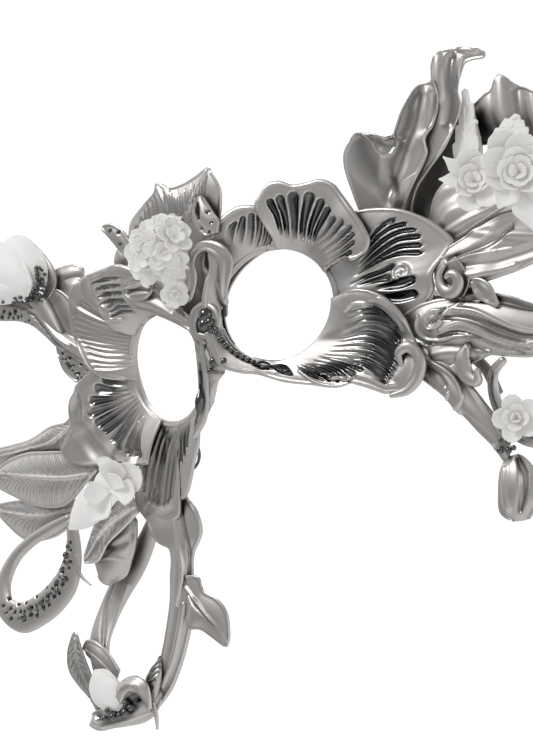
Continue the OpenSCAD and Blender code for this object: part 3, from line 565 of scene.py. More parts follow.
def petal_left_brow():
    marks = [fold([[-5, 52], [-12, 44], [-12, 36]], 7, -1.2)]
    for k in range(4):
        path = [[-13 - k, 52 - 3.4 * k], [-2 - 1.5 * k, 49 - 3.2 * k], [9 - 2 * k, 45 - 3.2 * k]]
        marks += [groove(path, [0.6, 1.1, 0.5], 1, 0.7, 0.4, 0.3),
            ridge([[x, z - 1.7] for x, z in path], [0.5, 0.8, 0.4], 0.6, 1)]
    for k in range(3):
        path = [[-14 - k / 2, 39 - 2.4 * k], [-6 - k, 38.5 - 2.4 * k], [2 - 1.5 * k, 35 - 2 * k]]
        marks += [groove(path, [0.5, 0.9, 0.4], 0.8, 0.6, 0.3, 0.3),
            ridge([[x, z - 1.2] for x, z in path], [0.4, 0.6, 0.4], 0.5, 0.9)]
    marks += [
        ridge([[8, 51], [-3, 56], [-13, 56], [-18, 49], [-17, 43]], 1, 0.7),
        ridge([[-18, 40], [-18, 35], [-11, 31]], 0.8, 0.5)]
    return [petal(-1, 60, 118,
        [[62, 44, 10], [70, 48, 12], [80, 52, 14], [92, 54, 15], [102, 57, 16], [109, 60, 16], [114, 57, 16],
         [116, 50, 15], [116, 43, 13], [120, 38, 11], [122, 34, 9]], foot=(3, 4), marks=marks)]


def petal_left_outer():
    marks = flutes(
        [[[-33, 50], [-26, 40], [-17, 29]], [[-41, 45], [-30, 35], [-16, 24]],
         [[-44, 37], [-32, 29], [-18, 20]], [[-41, 28], [-32, 21], [-19, 15]],
         [[-39, 18], [-32, 14], [-24, 11]]], 12, 0.7, polish_and_painted_dark=0.12, shine=0, taper=0.7)
    return [petal(-1, 106, 168,
        [[108, 56, 12], [114, 62, 12], [119, 67, 12], [124, 69, 12], [129, 66, 13], [137, 63, 13],
         [143, 59, 13], [149, 53, 14], [156, 47, 14], [161, 41, 12], [164, 36, 9], [166, 32, 6]],
        foot=(1.8, 2.4), marks=marks)]


def petal_left_back():
    return [
        lobe([[-93, 62], [-97, 68], [-94, 75], [-87, 75], [-81, 73], [-78, 70]],
             [[-89, 60], [-90, 66], [-86, 67], [-82, 66], [-79, 67], [-78, 70]], 20, 22, 1.5, 1.6,
             (0.8, 0.5)),
        lobe([[-90, 54], [-91, 62], [-89, 67], [-84, 67], [-79, 65]],
             [[-86, 50], [-83, 54], [-80, 58], [-79, 62], [-79, 65]], 18, 19, 2, 1.6, (0.8, 0.5)),
        lobe([[-86, 34], [-95, 42], [-101, 50], [-104, 58], [-102, 65], [-97, 67]],
            [[-83, 36], [-84, 44], [-86, 52], [-88, 59], [-92, 65], [-97, 67]], 16, 17, 1, 1.6, (0.8, 0.5),
            [fold([[-90, 42], [-94, 50], [-96, 60]], 5, -0.8, 0.15)])]


def petal_left_cheek():
    marks = (flutes(
            [[[-38, 11], [-35, 8], [-31, 5]], [[-46, 8], [-40, 4], [-32, 1]], [[-53, 3], [-44, 1], [-31, -2]],
             [[-54, -4], [-44, -4], [-30, -4]], [[-52, -10], [-42, -9], [-29, -6]]], 6, 1.8, polish_and_painted_dark=0.85,
            shine=1, taper=0.6)
        + flutes(
            [[[-49, -16], [-41, -12], [-30, -8]], [[-44, -21], [-38, -16], [-30, -10]],
             [[-33, -29], [-31, -22], [-27, -15]]], 5, 1.4, polish_and_painted_dark=0.7, shine=0.9, taper=0.6)
        + [
            fold([[-60, 12], [-66, 0], [-64, -14], [-54, -28]], [5, 7, 7, 6], -2.6),
            fold([[-40, -32], [-50, -36], [-66, -28]], [5, 7, 5], 2),
            fold([[-46, -24], [-38, -29], [-32, -32]], 4, -1.2)])
    return [petal(-1, 156, 231,
        [[152, 42, 9], [157, 46, 12], [163, 56, 15], [168, 64, 16], [173, 69, 16], [179, 71, 17],
         [182, 76, 17], [184, 85, 17], [188, 85, 16], [194, 77, 15], [202, 64, 15], [212, 54, 14],
         [222, 50, 13], [232, 46, 12]], foot=(1.8, 4), marks=marks)]


def petal_left_long():
    marks = (flutes(
            [[[-32, -26], [-28, -23], [-23, -20], [-19, -19]],
             [[-45, -45], [-37, -35], [-26, -26], [-18, -21]],
             [[-41, -52], [-32, -41], [-22, -30], [-13, -25]],
             [[-34, -56], [-26, -46], [-16, -34], [-7, -28]],
             [[-27, -56], [-20, -48], [-12, -38], [-4, -29]]], 9, 1, polish_and_painted_dark=0.55, shine=1, taper=0.4)
        + [fold([[-38, -46], [-30, -38], [-20, -28]], [5, 6, 4], -1),
            fold([[-48, -56], [-40, -60], [-30, -62]], 5, 1.2),
            ridge([[-24, -22], [-16, -26], [-6, -29]], 5, 0.2, 0.5)])
    return [petal(-1, 208, 258,
        [[207, 35, 7], [214, 42, 8], [219, 50, 8], [221, 58, 8], [220, 66, 8], [222, 73, 8], [228, 76, 8],
         [235, 76, 8], [242, 74, 7.6], [248, 70, 7], [250, 62, 6.4], [252, 50, 5.6]], foot=(1.8, 2.2),
        marks=marks)]


def petal_left_nose():
    marks = flutes(
        [[[-15, -45], [-11, -37], [-5, -29]], [[-9, -42], [-6, -35], [-1, -29]],
         [[-3, -39], [0, -34], [4, -29]]], 4, 1.1, polish_and_painted_dark=0.9, taper=0.5)
    return [petal(-1, 236, 290,
        [[240, 56, 5], [246, 62, 5], [251, 62, 6], [256, 59, 6], [262, 53, 6], [269, 47, 6], [277, 42, 5],
         [285, 36, 4]], marks=marks)]


def bridge_volute():
    turns = [(235 - 42 * k, 8.6 - 0.3 * k, -10.5 - 0.2 * k) for k in range(10)]
    path = [[3 + r * math.cos(math.radians(a)), y, 6 + r * math.sin(math.radians(a))] for a, r, y in turns]
    return [
        bar(path, [1.6, 2.8, 2.8, 2.2, 1.2], 1.7, marks=[fold([[x, z] for x, y, z in path], 1.2, -0.4)]),
        ball([3, -8, 6], 6.5, (1, 0.4, 1.1))]


def bridge_beads():
    made = []
    for k in range(9):
        a, margin = math.radians(181 + (8 - 0.2 * k) * k), 1.3 + 2.4 / (1 + k)
        spot = [(EYE_W + margin) * math.cos(a), (EYE_H + margin) * math.sin(a), 5.8 - 0.15 * k]
        made.append(ball(at_eye(1, spot), 1.7 - 0.1 * k if k % 3 else 1.2))
    for x, y, z, r in ((5.4, -12.5, 9.2, 3.7), (3, -12.5, 5.4, 3.5), (6.8, -13.5, 5, 2.4),
                       (5.4, -12.5, 2, 2.1), (8.2, -13, 0.6, 1.5), (-0.3, -12, -12, 2.4),
                       (5, -11.5, -14.5, 2.4), (-4, -12, -15, 1.7)):
        made.append(ball([x, y, z], r))
    made.append(bar([[-15, -10, -20], [-17, -11, -25], [-20, -11, -30]], [0.6, 2.2, 0.8], [0.6, 2, 0.8]))
    return made


def bridge_ribbon_loop():
    return [
        bar(
            [[-4, -10, 20], [1, -12, 22], [6, -13, 28], [8, -14, 34], [13, -14, 38], [20, -14, 38],
             [26, -14, 33], [27, -13, 27], [23, -12, 21], [18, -10, 16], [15, -8, 11]],
            [1.5, 2.6, 3.2, 3, 2.4, 2.6, 3.6, 4.2, 3.2, 2.2, 1.6], 1.5,
            marks=[fold(
                [[-1, 21], [5, 26], [8, 33], [14, 38], [21, 37], [26, 32], [28, 26], [23, 20], [17, 13]],
                [1.4, 2, 2.4, 2.2, 2, 2.4, 3.4, 2.8, 1.4], -1)]),
        bar([[12, -9, 35], [10, -9, 26], [11, -9, 17], [11, -7, 10]], [1, 1.6, 1.6, 1], 1.2),
        bar([[15, -9, 36], [12, -10, 31], [13, -10, 26], [15, -9, 20], [13, -7, 12]], [0.9, 1.5, 1.8, 1.6, 1],
            1.2),
        leaf([[4, -6, 41], [2, -6, 28], [5, -6, 14], [10, -6, 6]],
             [[21, -6, 40], [21, -6, 28], [17, -6, 17], [12, -6, 6]], 0, 1.2)]


def bridge_ribbon_leaf():
    return [
        leaf(
            [[-37, -9, 42], [-30, -12, 43], [-22, -13, 41], [-16, -12, 36], [-13, -12, 28], [-9, -12, 21],
             [-4, -11, 12]],
            [[-38, -8, 39], [-36, -9, 36], [-32, -10, 30], [-25, -10, 25], [-18, -10, 19], [-12, -10, 13],
             [-7, -10, 7]], 2,
            marks=[
                fold([[-31, 37], [-24, 34], [-18, 29], [-12, 20]], [3, 4.5, 4.5, 3], -2.4),
                ridge([[-34, 41], [-27, 38], [-21, 37], [-17, 32], [-12, 22], [-7, 13]],
                      [0.8, 0.9, 1, 1, 0.9, 0.7], 1),
                groove([[-16, 37], [-13, 30], [-9, 21], [-6, 14]], [0.6, 1.2, 1.2, 0.6], 1, 0.2)],
            rims=(1.2, 0.9)),
        lobe([[-34, 40], [-30, 43], [-24, 43], [-18, 39], [-17, 33]],
            [[-34, 38], [-31, 34], [-27, 32], [-22, 31], [-17, 33]], -12, -13, 1, 1.4, (0.8, 0.7),
            [fold([[-32, 39], [-26, 38], [-20, 35]], [3, 4, 3], -2.2, 0.5)])]


def bridge_strip():
    return [
        bar(
            [[-2, -10, 13], [-5, -9, 4], [-7, -9, -3], [-10, -9, -12], [-15, -8, -22], [-22, -7, -31],
             [-30, -6, -37]], [1.4, 2.4, 3, 3.2, 3.2, 3.4, 1.4], 1.4,
            marks=[
                groove([[-4, 8], [-6, 2], [-8, -4]], [0.5, 1, 0.5], 0.9, 0.3),
                groove([[-9, -9], [-13, -17], [-20, -27], [-27, -33]], [0.5, 1.3, 1.3, 0.5], 1, 0.9),
                ridge([[-6, 8], [-9, -4], [-12, -13], [-18, -24], [-27, -34]], 0.6, 0.6)]),
        leaf([[-6, -8, 6], [-7, -8, -4], [-9, -8, -14], [-13, -7, -22]],
            [[-1, -8, 4], [2, -8, -6], [4, -8, -12], [-1, -7, -18]], 1.5, 1.4,
            [fold([[-1, -3], [1, -9], [4, -14]], 2.2, 1.2), fold([[-4, -2], [-3, -9]], 1.5, -0.8),
                fold([[-3, -15], [2, -18]], 2, -0.8)]),
        leaf([[-10, -7, -16], [-13, -7, -22], [-18, -6, -29]], [[-2, -7, -16], [-7, -7, -21], [-13, -6, -27]],
             1, 1.4)]


def forehead_leaf():
    return [leaf(
        [[-26, -6, 58], [-19, -8, 67], [-8, -9, 71], [1, -9, 74], [4, -9, 77], [9, -9, 72], [17, -9, 70],
         [26, -9, 70], [34, -9, 71]],
        [[-22, -6, 50], [-10, -7, 44], [2, -7, 40], [13, -7, 40], [22, -7, 43], [28, -7, 48], [33, -8, 54],
         [36, -9, 60], [35, -9, 68]], 3,
        marks=veins([[-24, 54], [-8, 52], [8, 50], [24, 52]],
                    [[-23, 61], [-8, 71], [3, 76], [17, 70], [35, 70]], 38, 0.6, 0.6, 0.06, 0.9)
        + [ridge([[4, 56], [5, 65], [4, 75]], 1.4, 0.8), ridge([[12, 55], [22, 62], [33, 70]], 1.3, 0.8),
            # Broad low ridge painted paler, a painted highlight across the leaf's middle
            ridge([[-18, 60], [-6, 62], [8, 64], [18, 60]], 8, 0.1, 0.8)], rims=(0.9, 0.7))]


def dotted_leaves():
    return [
        leaf([[-34, -9, 73], [-29, -9, 71], [-25, -9, 66], [-23, -9, 60], [-19, -9, 55]],
            [[-35, -9, 72], [-33, -9, 68], [-31, -9, 63], [-29, -9, 58], [-25, -9, 53]], 1,
            marks=dots([[-31, 69], [-27, 66], [-28, 61], [-24, 57]], 0.9, 0.5), rims=(0.9, 0.7)),
        leaf([[-34, -6, 60], [-37, -6, 57], [-38, -6, 54]], [[-29, -6, 57], [-30, -6, 53], [-35, -6, 51]], 1),
        leaf([[26, -13, 60], [22, -13, 57], [20, -13, 52], [20, -13, 47], [23, -13, 42]],
            [[28, -13, 59], [29, -13, 54], [30, -13, 49], [31, -13, 45], [29, -13, 41]], 2,
            marks=[groove([[25, 57], [24, 54], [23, 50]], [0.8, 1.6, 0.8], 1.4)]
            + dots([[28, 51], [22, 46], [25, 43], [28, 46]], 0.8, 0.4), rims=(0.9, 0.8))]


def forehead_blossoms():
    made = []
    for k in range(10):
        a, r = math.radians(137.5 * k + 40), 4.3 * math.sqrt(k)
        spot = [-1 + 1.15 * r * math.cos(a), -27 + 0.06 * r * r, 46 + 0.8 * r * math.sin(a)]
        axes = facing_axes(25 + 4.5 * r * math.cos(a), 4 * r * math.sin(a), 50 * k)
        made += bloom(spot, axes,
            [(5, 8.8, 7.4, 12, -8 + 16 * (k % 2), 0.35, 0), (4, 5, 4.6, 34, -5, 0.4, 0.8)], 0.7, 25 * k)
    return made


def forehead_floret():
    axes = facing_axes(30, -20, 20)
    return (bloom([-5, -15, 25], axes, [(5, 6.4, 6.4, 12, 10, 0.3, 0), (3, 3.2, 3, 50, 10, 0.5, 0.6)], 0.8)
        + [bar([[-7, -12, 35], [-6, -13, 30], [-5, -14, 26]], 0.8, 0.8),
            lobe([[-18, 37], [-15, 30], [-8, 24]], [[2, 38], [1, 31], [-8, 24]], -9, -10, 1)])


def plume_front():
    return [leaf(
        [[85, 20, 14], [87, 17, 32], [90, 14, 45], [94, 14, 52], [101, 15, 56], [106, 16, 54], [110, 16, 51],
         [113, 17, 48], [116, 18, 47], [119, 19, 49], [126, 20, 56], [132, 22, 61], [138, 23, 63],
         [144, 24, 62]],
        [[100, 22, 8], [109, 21, 18], [116, 20, 23], [123, 21, 28], [129, 21, 33], [131, 21, 39],
         [136, 22, 43], [141, 23, 49], [144, 24, 56], [145, 24, 61]], -2,
        marks=[
            ridge([[103, 55], [106, 51], [106, 46], [108, 42], [112, 41], [116, 44], [118, 48]], 0.9, 0.9,
                0.9),
            # These folds' polish paints their hollows dark, a painted shade
            fold([[109, 52], [110, 47], [115, 45]], 4, -0.8, 0.4),
            fold([[100, 53], [99, 44], [101, 34], [106, 26]], [7, 8, 8, 6], -2, 0.35),
            fold([[134, 60], [126, 52], [118, 43], [110, 34], [103, 24]], [7, 8, 8, 8, 7], -2, 0.4),
            fold([[139, 58], [134, 48], [127, 40], [117, 31], [106, 22]], [5, 6, 7, 7, 6], 1.6),
            fold([[143, 55], [140, 48], [136, 42]], [2.4, 3, 2.4], -1.4, 0.3),
            ridge([[143, 52], [139, 45], [134, 40], [130, 36], [132, 34], [137, 37], [142, 40]], 0.6, 0.7,
                0.5),
            ridge([[141, 35], [133, 30], [124, 27], [113, 25], [106, 22]], [0.5, 0.7, 0.7, 0.6, 0.4], 0.6),
            fold([[124, 24], [114, 21], [105, 16]], 4, -0.9)], rims=(0.7, 0.5))]


def plume_tall():
    return [
        leaf(
            [[102, 25, 14], [117, 25, 31], [130, 26, 45], [139, 27, 55], [143, 28, 64], [146, 28, 70],
             [151, 29, 73], [158, 31, 71], [164, 32, 69], [170, 33, 64]],
            [[104, 25, 8], [114, 24, 20], [124, 24, 26], [135, 26, 32], [143, 28, 39], [150, 29, 46],
             [152, 29, 54], [156, 30, 60], [161, 31, 64], [169, 33, 62]], 2,
            marks=[
                fold([[155, 68], [151, 60], [148, 51], [142, 42]], [3.5, 4.5, 5, 4], -2, 0.35),
                fold([[149, 71], [146, 63], [143, 54]], 3.5, 1.2),
                ridge([[160, 66], [155, 60], [152, 52], [149, 45], [141, 37], [130, 29], [118, 22]], 0.7, 0.8,
                    0.8),
                fold([[160, 70], [167, 66]], 2, 1.2)], rims=(0.8, 0.6)),
        # Broad lobe painted dark all over by its wide fold, a painted shade behind the plume
        lobe([[90, 4], [104, 22], [120, 34], [140, 52]], [[128, -4], [141, 10], [150, 24], [153, 46]], 28, 34,
            -2, 1.4, (0.6, 0.4), [fold([[110, 4], [124, 22], [140, 44]], 16, -2, 0.7)])]


def plume_rear():
    return [leaf(
        [[144, 38, 40], [148, 38, 45], [157, 40, 48], [162, 41, 49], [168, 42, 53], [173, 43, 46],
         [179, 44, 40], [186, 45, 30]],
        [[138, 37, 34], [146, 38, 29], [155, 40, 26], [162, 41, 22], [167, 42, 18], [173, 43, 16],
         [179, 44, 16], [186, 45, 22]], 2,
        # Wide hollow painted dark, a painted shade and dark reflection
        marks=[fold([[147, 46], [149, 34], [152, 22]], 13, -1.2, 0.75),
            fold([[167, 50], [164, 38], [163, 26]], [5, 6, 5], 1.4),
            fold([[173, 43], [171, 32], [170, 22]], 4, -1.4, 0.2),
            fold([[180, 40], [178, 30], [177, 20]], 5, 2)], rims=(0.7, 0.5))]


def white_leaves():
    made = []
    for spine, a, b in (
        ([[139, 19], [143, 28], [147, 38], [153, 53]],
            [[136, 32, 20], [136, 32, 28], [141, 33, 37], [147, 33, 44], [153, 33, 53]],
            [[142, 31, 17], [149, 32, 26], [151, 33, 35], [153, 33, 45], [153, 33, 53]]),
        ([[157, 13], [161, 20], [166, 25], [171, 31]],
            [[152, 34, 14], [153, 35, 21], [158, 35, 28], [165, 36, 31], [171, 37, 31]],
            [[161, 34, 12], [169, 35, 17], [173, 36, 22], [172, 37, 27], [171, 37, 31]])):
        marks = [ridge(spine, 0.6, 0.5, 0)] + vein_pair(spine, edge(a), edge(b), 7, 0.6, 0.4, shine=0)
        made.append(leaf(toothed(a, 5, -1.5), toothed(b, 5, 1.5), 1.5, 1, marks))
    return made


def star_flower():
    rows = [(150, 15, 7, 8, -20, 1.1, 0), (118, 17, 6.5, 12, -10, 1.2, 0), (78, 15, 12, 14, 30, 0.45, 0.4),
            (240, 14, 13, 6, 24, 0.4, 0), (292, 15, 12, 8, 20, 0.45, 0.5), (10, 14, 11, 10, 26, 0.6, 0),
            (42, 12, 10, 20, 20, 0.6, 0.8), (205, 10, 9, 24, 20, 0.6, 1), (325, 9, 8, 30, 16, 0.6, 1.4),
            (95, 8, 8, 34, 0, 0.35, 1.6), (165, 7, 7, 40, -4, 0.35, 1.8), (260, 7, 7, 38, -4, 0.35, 1.8),
            (345, 7, 7, 42, -4, 0.35, 2), (130, 5, 5, 54, -10, 0.35, 2.2), (235, 5, 5, 56, -10, 0.35, 2.4),
            (20, 5, 5, 58, -10, 0.35, 2.4)]
    stem = bar([[151, 16.5, 9], [148, 21, 4], [145, 26, -1], [141, 26.5, -4]], [4, 2.6, 2, 1.6], 1.8)
    return petals([150, 16, 8], facing_axes(30, 5), rows, 0.6) + [stem]


def white_rose():
    rows = [(98, 20, 16, 4, 18, 0.4, 0), (62, 17, 15, 8, 20, 0.45, 0.5), (134, 17, 14, 8, 22, 0.45, 0.5),
            (172, 15, 12, 10, 16, 0.7, 0), (218, 17, 12, 6, 4, 0.9, 0.3), (262, 24, 14, 4, -4, 0.9, 0),
            (300, 18, 12, 6, 0, 0.9, 0.6), (340, 16, 13, 8, 14, 0.7, 0.3), (15, 15, 13, 10, 24, 0.5, 0.6),
            (80, 12, 11, 26, 26, 0.4, 1.5), (150, 11, 10, 28, 26, 0.4, 1.5), (210, 11, 9, 26, 16, 0.6, 1.5),
            (285, 12, 9, 22, 10, 0.7, 1.5), (0, 11, 10, 28, 24, 0.4, 1.5), (115, 8.5, 8, 32, 0, 0.35, 2.4),
            (190, 8, 7.5, 36, -4, 0.35, 2.6), (255, 8, 7.5, 38, -4, 0.35, 2.6), (325, 8, 8, 36, 0, 0.35, 2.4),
            (45, 8, 8, 40, -4, 0.35, 2.6), (150, 5.5, 5.5, 52, -10, 0.35, 3), (275, 5, 5, 56, -10, 0.35, 3.2),
            (20, 5, 5, 60, -10, 0.35, 3.2)]
    stem = bar([[173, 19.5, 3], [166, 24, -2], [156, 28, -6], [149, 27, -6]], [4.5, 2.8, 2.2, 1.8], 1.8)
    return petals([172, 19, 2], facing_axes(30, 0), rows, 0.6) + [stem]


def pale_drape():
    return [leaf([[114, 24, 4], [122, 25, 13], [130, 26, 17], [138, 27, 14], [147, 28, 6], [155, 29, -2]],
        [[113, 24, 0], [116, 24, -8], [126, 25, -13], [138, 26, -13], [149, 28, -12], [158, 29, -9]], 4,
        marks=[
            ridge([[121, -8], [131, -8], [140, -7], [151, -6], [158, -6]], 0.8, 0.8),
            fold([[118, -5], [132, -4], [145, -4], [162, -5]], 3, 1),
            fold([[116, -11], [130, -11], [145, -10], [162, -11]], 2.6, -1),
            fold([[117, 4], [126, 9], [136, 9]], 6, -1.5)], rims=(0.9, 0.6))]


def drape_leaf():
    return [leaf(
        [[116, 17, -13], [125, 19, -12], [135, 21, -11], [146, 23, -10], [154, 25, -10], [160, 26, -13],
         [166, 27, -20], [178, 29, -30]],
        [[112, 16, -22], [117, 16, -28], [124, 17, -32], [132, 18, -33], [141, 21, -34], [150, 23, -35],
         [163, 26, -35], [178, 29, -33]], 3,
        marks=[
            ridge([[118, -15], [127, -16], [137, -17], [147, -16], [157, -14]], [0.7, 0.8, 0.9, 0.8, 0.6],
                  0.9),
            fold([[122, -17], [132, -18], [143, -19], [155, -17]], [1.5, 2.4, 2.6, 2], -1.6, 0.15),
            ridge([[122, -19], [132, -20], [142, -23], [153, -26]], [0.6, 0.7, 0.8, 0.5], 0.8),
            fold([[124, -22], [134, -25], [146, -28], [160, -30]], [2, 3, 4, 4], -1.5),
            fold([[128, -28], [138, -31], [150, -33]], 2.6, 1),
            fold([[134, -9], [143, -14], [153, -19], [168, -27]], [3, 3, 3, 3], 1),
            fold([[120, -23], [124, -25], [127, -30]], 2, -1.2, 0.4)], rims=(0.7, 0.5))]


def drape_curls():
    return [
        bar([[x, 14 - 0.2 * k, z] for k, (x, z) in enumerate(spiral([121, -27], 7.5, 2.2, 100, 470))],
            [1.2, 2.6, 3, 3, 2.2, 1.2], [1, 1.6, 1.8, 1.8, 1.6, 1.2]),
        lobe([[117, -19], [114, -25], [116, -32], [122, -36]],
             [[126, -18], [128, -24], [128, -31], [122, -36]], 16, 16, 0, 1.4),
        lobe([[129, -32], [129, -38], [132, -42], [137, -47]],
            [[130, -31], [134, -33], [137, -38], [137, -47]], 17, 17, 1.2, 1.6, (0.9, 0.8),
            [fold([[131, -35], [134, -41]], 2.5, -0.8)]),
        lobe([[112, -16], [112, -28], [118, -40], [128, -50]],
            [[128, -16], [129, -28], [132, -38], [133, -48]], 23, 23, 0, 1.6, (0.6, 0.3),
            [fold([[122, -18], [124, -32], [130, -46]], 12, -0.8, 0.4)])]


def scroll_arm_upper():
    return [leaf(
        [[91, 14, -34], [98, 14, -31], [107, 15, -32], [117, 17, -35], [131, 20, -39], [141, 22, -45],
         [150, 24, -53], [161, 27, -60], [174, 30, -67]],
        [[91, 14, -39], [96, 14, -45], [104, 15, -51], [114, 17, -58], [126, 19, -65], [139, 22, -72],
         [150, 24, -75], [162, 27, -74], [174, 30, -70]], 5, t=2.4,
        marks=[
            ridge([[120, -39], [112, -40], [107, -43], [102, -42], [102, -38], [105, -36], [109, -37]], 1.1,
                1.5),
            groove([[113, -38], [107, -40], [104, -40]], 1.2, 1.2, 0.4),
            ridge(
                [[99, -35], [96, -39], [98, -45], [106, -49], [115, -51], [123, -56], [131, -64], [143, -71],
                 [158, -74]], 1.1, 1.3),
            ridge([[108, -37], [117, -40], [126, -45], [133, -52], [141, -60], [152, -67], [168, -71]], 1.2,
                1.3),
            groove([[110, -41], [118, -44], [126, -50], [134, -58], [144, -66], [160, -71]],
                [0.8, 1.8, 2.6, 2.6, 2, 0.8], 1.7, 0.3, 0.3),
            ridge([[107, -45], [117, -46], [125, -52], [133, -61], [143, -69]], 1, 1.1),
            groove([[104, -47], [113, -49], [121, -54], [130, -63], [139, -70]], [0.6, 1.2, 1.2, 1.2, 0.7],
                   1.2, 0.5),
            groove([[120, -37], [129, -41], [138, -46], [147, -53], [158, -61]], [0.6, 1.5, 1.8, 1.5, 0.8],
                   1.4, 0.45),
            ridge([[126, -38], [136, -42], [146, -49], [158, -58]], 1, 0.9),
            ridge([[100, -48], [96, -50], [94, -54], [97, -57], [101, -55]], 1.1, 1.3)], rims=(1, 0.8))]


def scroll_arm_lower():
    return [leaf(
        [[88, 14, -44], [96, 15, -49], [104, 16, -61], [107, 16, -72], [111, 16, -84], [114, 17, -95],
         [115, 17, -104], [113, 17, -110]],
        [[83, 12, -52], [90, 13, -63], [96, 13, -72], [99, 14, -81], [103, 15, -90], [107, 16, -99],
         [110, 16, -106], [111, 17, -112]], 3, t=2.4,
        marks=[
            ridge(
                [[91, -52], [97, -58], [102, -65], [104, -72], [104, -78], [101, -80], [97, -79], [96, -75],
                 [99, -73]], 1, 1.3),
            groove([[93, -57], [97, -63], [99, -69]], 1.6, 1, 0.2, 0.2),
            ridge([[104, -62], [107, -72], [110, -82], [112, -92], [114, -103]], 0.9, 1.2),
            fold([[101, -84], [106, -93], [110, -102]], 2.4, -1.2)], rims=(0.9, 0.7))]


def scroll_curl():
    return [
        bar([[116, 13, -58], [112, 12, -62], [111, 12, -69], [115, 12, -74], [117, 12, -70]],
            [2, 4, 4, 2.6, 1.2], 2.2, marks=[ridge([[117, -58], [116, -64], [118, -70]], 0.8, 0.8)]),
        lobe([[92, -50], [98, -46], [106, -49], [114, -55], [124, -64]],
            [[95, -56], [101, -62], [109, -64], [116, -64], [124, -64]], 14, 18, 2, 1.8, (0.9, 0.8),
            [fold([[98, -54], [106, -56], [114, -60]], 4, 1.4)])]


def right_loop():
    return [bar(
        [[128, 18, -70], [121, 18, -73], [117, 18, -82], [117, 18, -92], [121, 18, -103], [129, 19, -110],
         [140, 21, -113], [150, 23, -108], [156, 24, -98], [157, 25, -87], [151, 24, -79], [142, 22, -77]],
        [2, 2.6, 3, 3, 3.4, 3.4, 3.2, 3, 2.8, 2.4, 2, 1.6], 1.6,
        marks=[
            groove([[121, -73], [118, -77], [116, -84], [117, -93], [120, -101], [128, -108]],
                [0.8, 1.2, 1.3, 1.2, 1, 0.6], 1.3, 0.5),
            ridge([[126, -73], [121, -76], [118, -83], [118, -92], [122, -101], [130, -108], [141, -110]],
                0.7, 0.7)])]


def right_loop_flower():
    axes = facing_axes(25, 0, 15)
    made = bloom([127, 13, -98], axes,
        [(5, 10.5, 9, 18, -5, 0.35, 0), (4, 7, 6, 42, -5, 0.4, 1), (3, 4, 3.5, 66, 0, 0.4, 2)])
    return made + [bar([[127, 13.5, -98], [123, 16, -99], [119, 18, -97]], [2.4, 1.8, 1.4], 1.2)]


def right_loop_leaf():
    return [leaf([[112, 17, -111], [107, 16, -116], [103, 15, -124], [100, 15, -132], [104, 15, -138]],
        [[118, 18, -112], [121, 18, -118], [122, 18, -126], [120, 17, -134], [112, 16, -140]], 4,
        marks=[
            groove([[117, -113], [118, -121], [115, -129], [110, -135]], [1, 2.2, 2.4, 1.5], 1.8, 0.3, 0.2),
            fold([[110, -116], [107, -124], [105, -132]], 2.6, 1.2)], rims=(1, 0.7))]


def flower_bud():
    return [
        bar([[-98, 15, 74], [-106, 16, 79], [-117, 18, 84], [-131, 20, 89], [-143, 22, 93]],
            [3, 9, 12, 10, 2], [3, 8, 9, 8, 2]),
        lobe([[-97, 71], [-93, 79], [-95, 88], [-99, 96], [-105, 100], [-111, 101]],
             [[-98, 71], [-106, 74], [-112, 82], [-114, 91], [-111, 101]], 15, 17, 6, 1, (0.7, 0.5)),
        lobe([[-100, 73], [-101, 84], [-104, 92], [-111, 99], [-121, 103], [-134, 102], [-145, 95]],
            [[-100, 73], [-108, 69], [-120, 73], [-132, 79], [-141, 87], [-145, 95]], 9, 19, 8, 1,
            (0.9, 0.6)),
        lobe([[-104, 73], [-116, 71], [-128, 75], [-138, 82], [-143, 90]],
             [[-104, 76], [-113, 84], [-124, 90], [-135, 93], [-143, 90]], 10, 18, 8, 1, (0.7, 0.5))]


def bud_sepal():
    return [lobe([[-100, 64], [-93, 68], [-91, 75], [-93, 83], [-96, 90], [-99, 95]],
                 [[-101, 67], [-97, 70], [-94, 75], [-95, 82], [-97, 88], [-99, 95]], 16, 18, 1, 1.4,
                 (0.7, 0.5))]


def bud_grains():
    """Cast grains between the bud, its sepal and the arm"""
    line = [[-132, 80], [-122, 75], [-113, 71], [-105, 68], [-99, 68], [-96, 73], [-95, 79]]
    made = []
    for k in range(56):
        x, z = beside(line, (k + 0.5) / 56, 2.2 * math.sin(2.4 * k))[0]
        made.append(ball([x, 11 + 1.2 * math.sin(1.7 * k), z], 0.8 + 0.5 * scatter(k), around=10, rows=7))
    return made


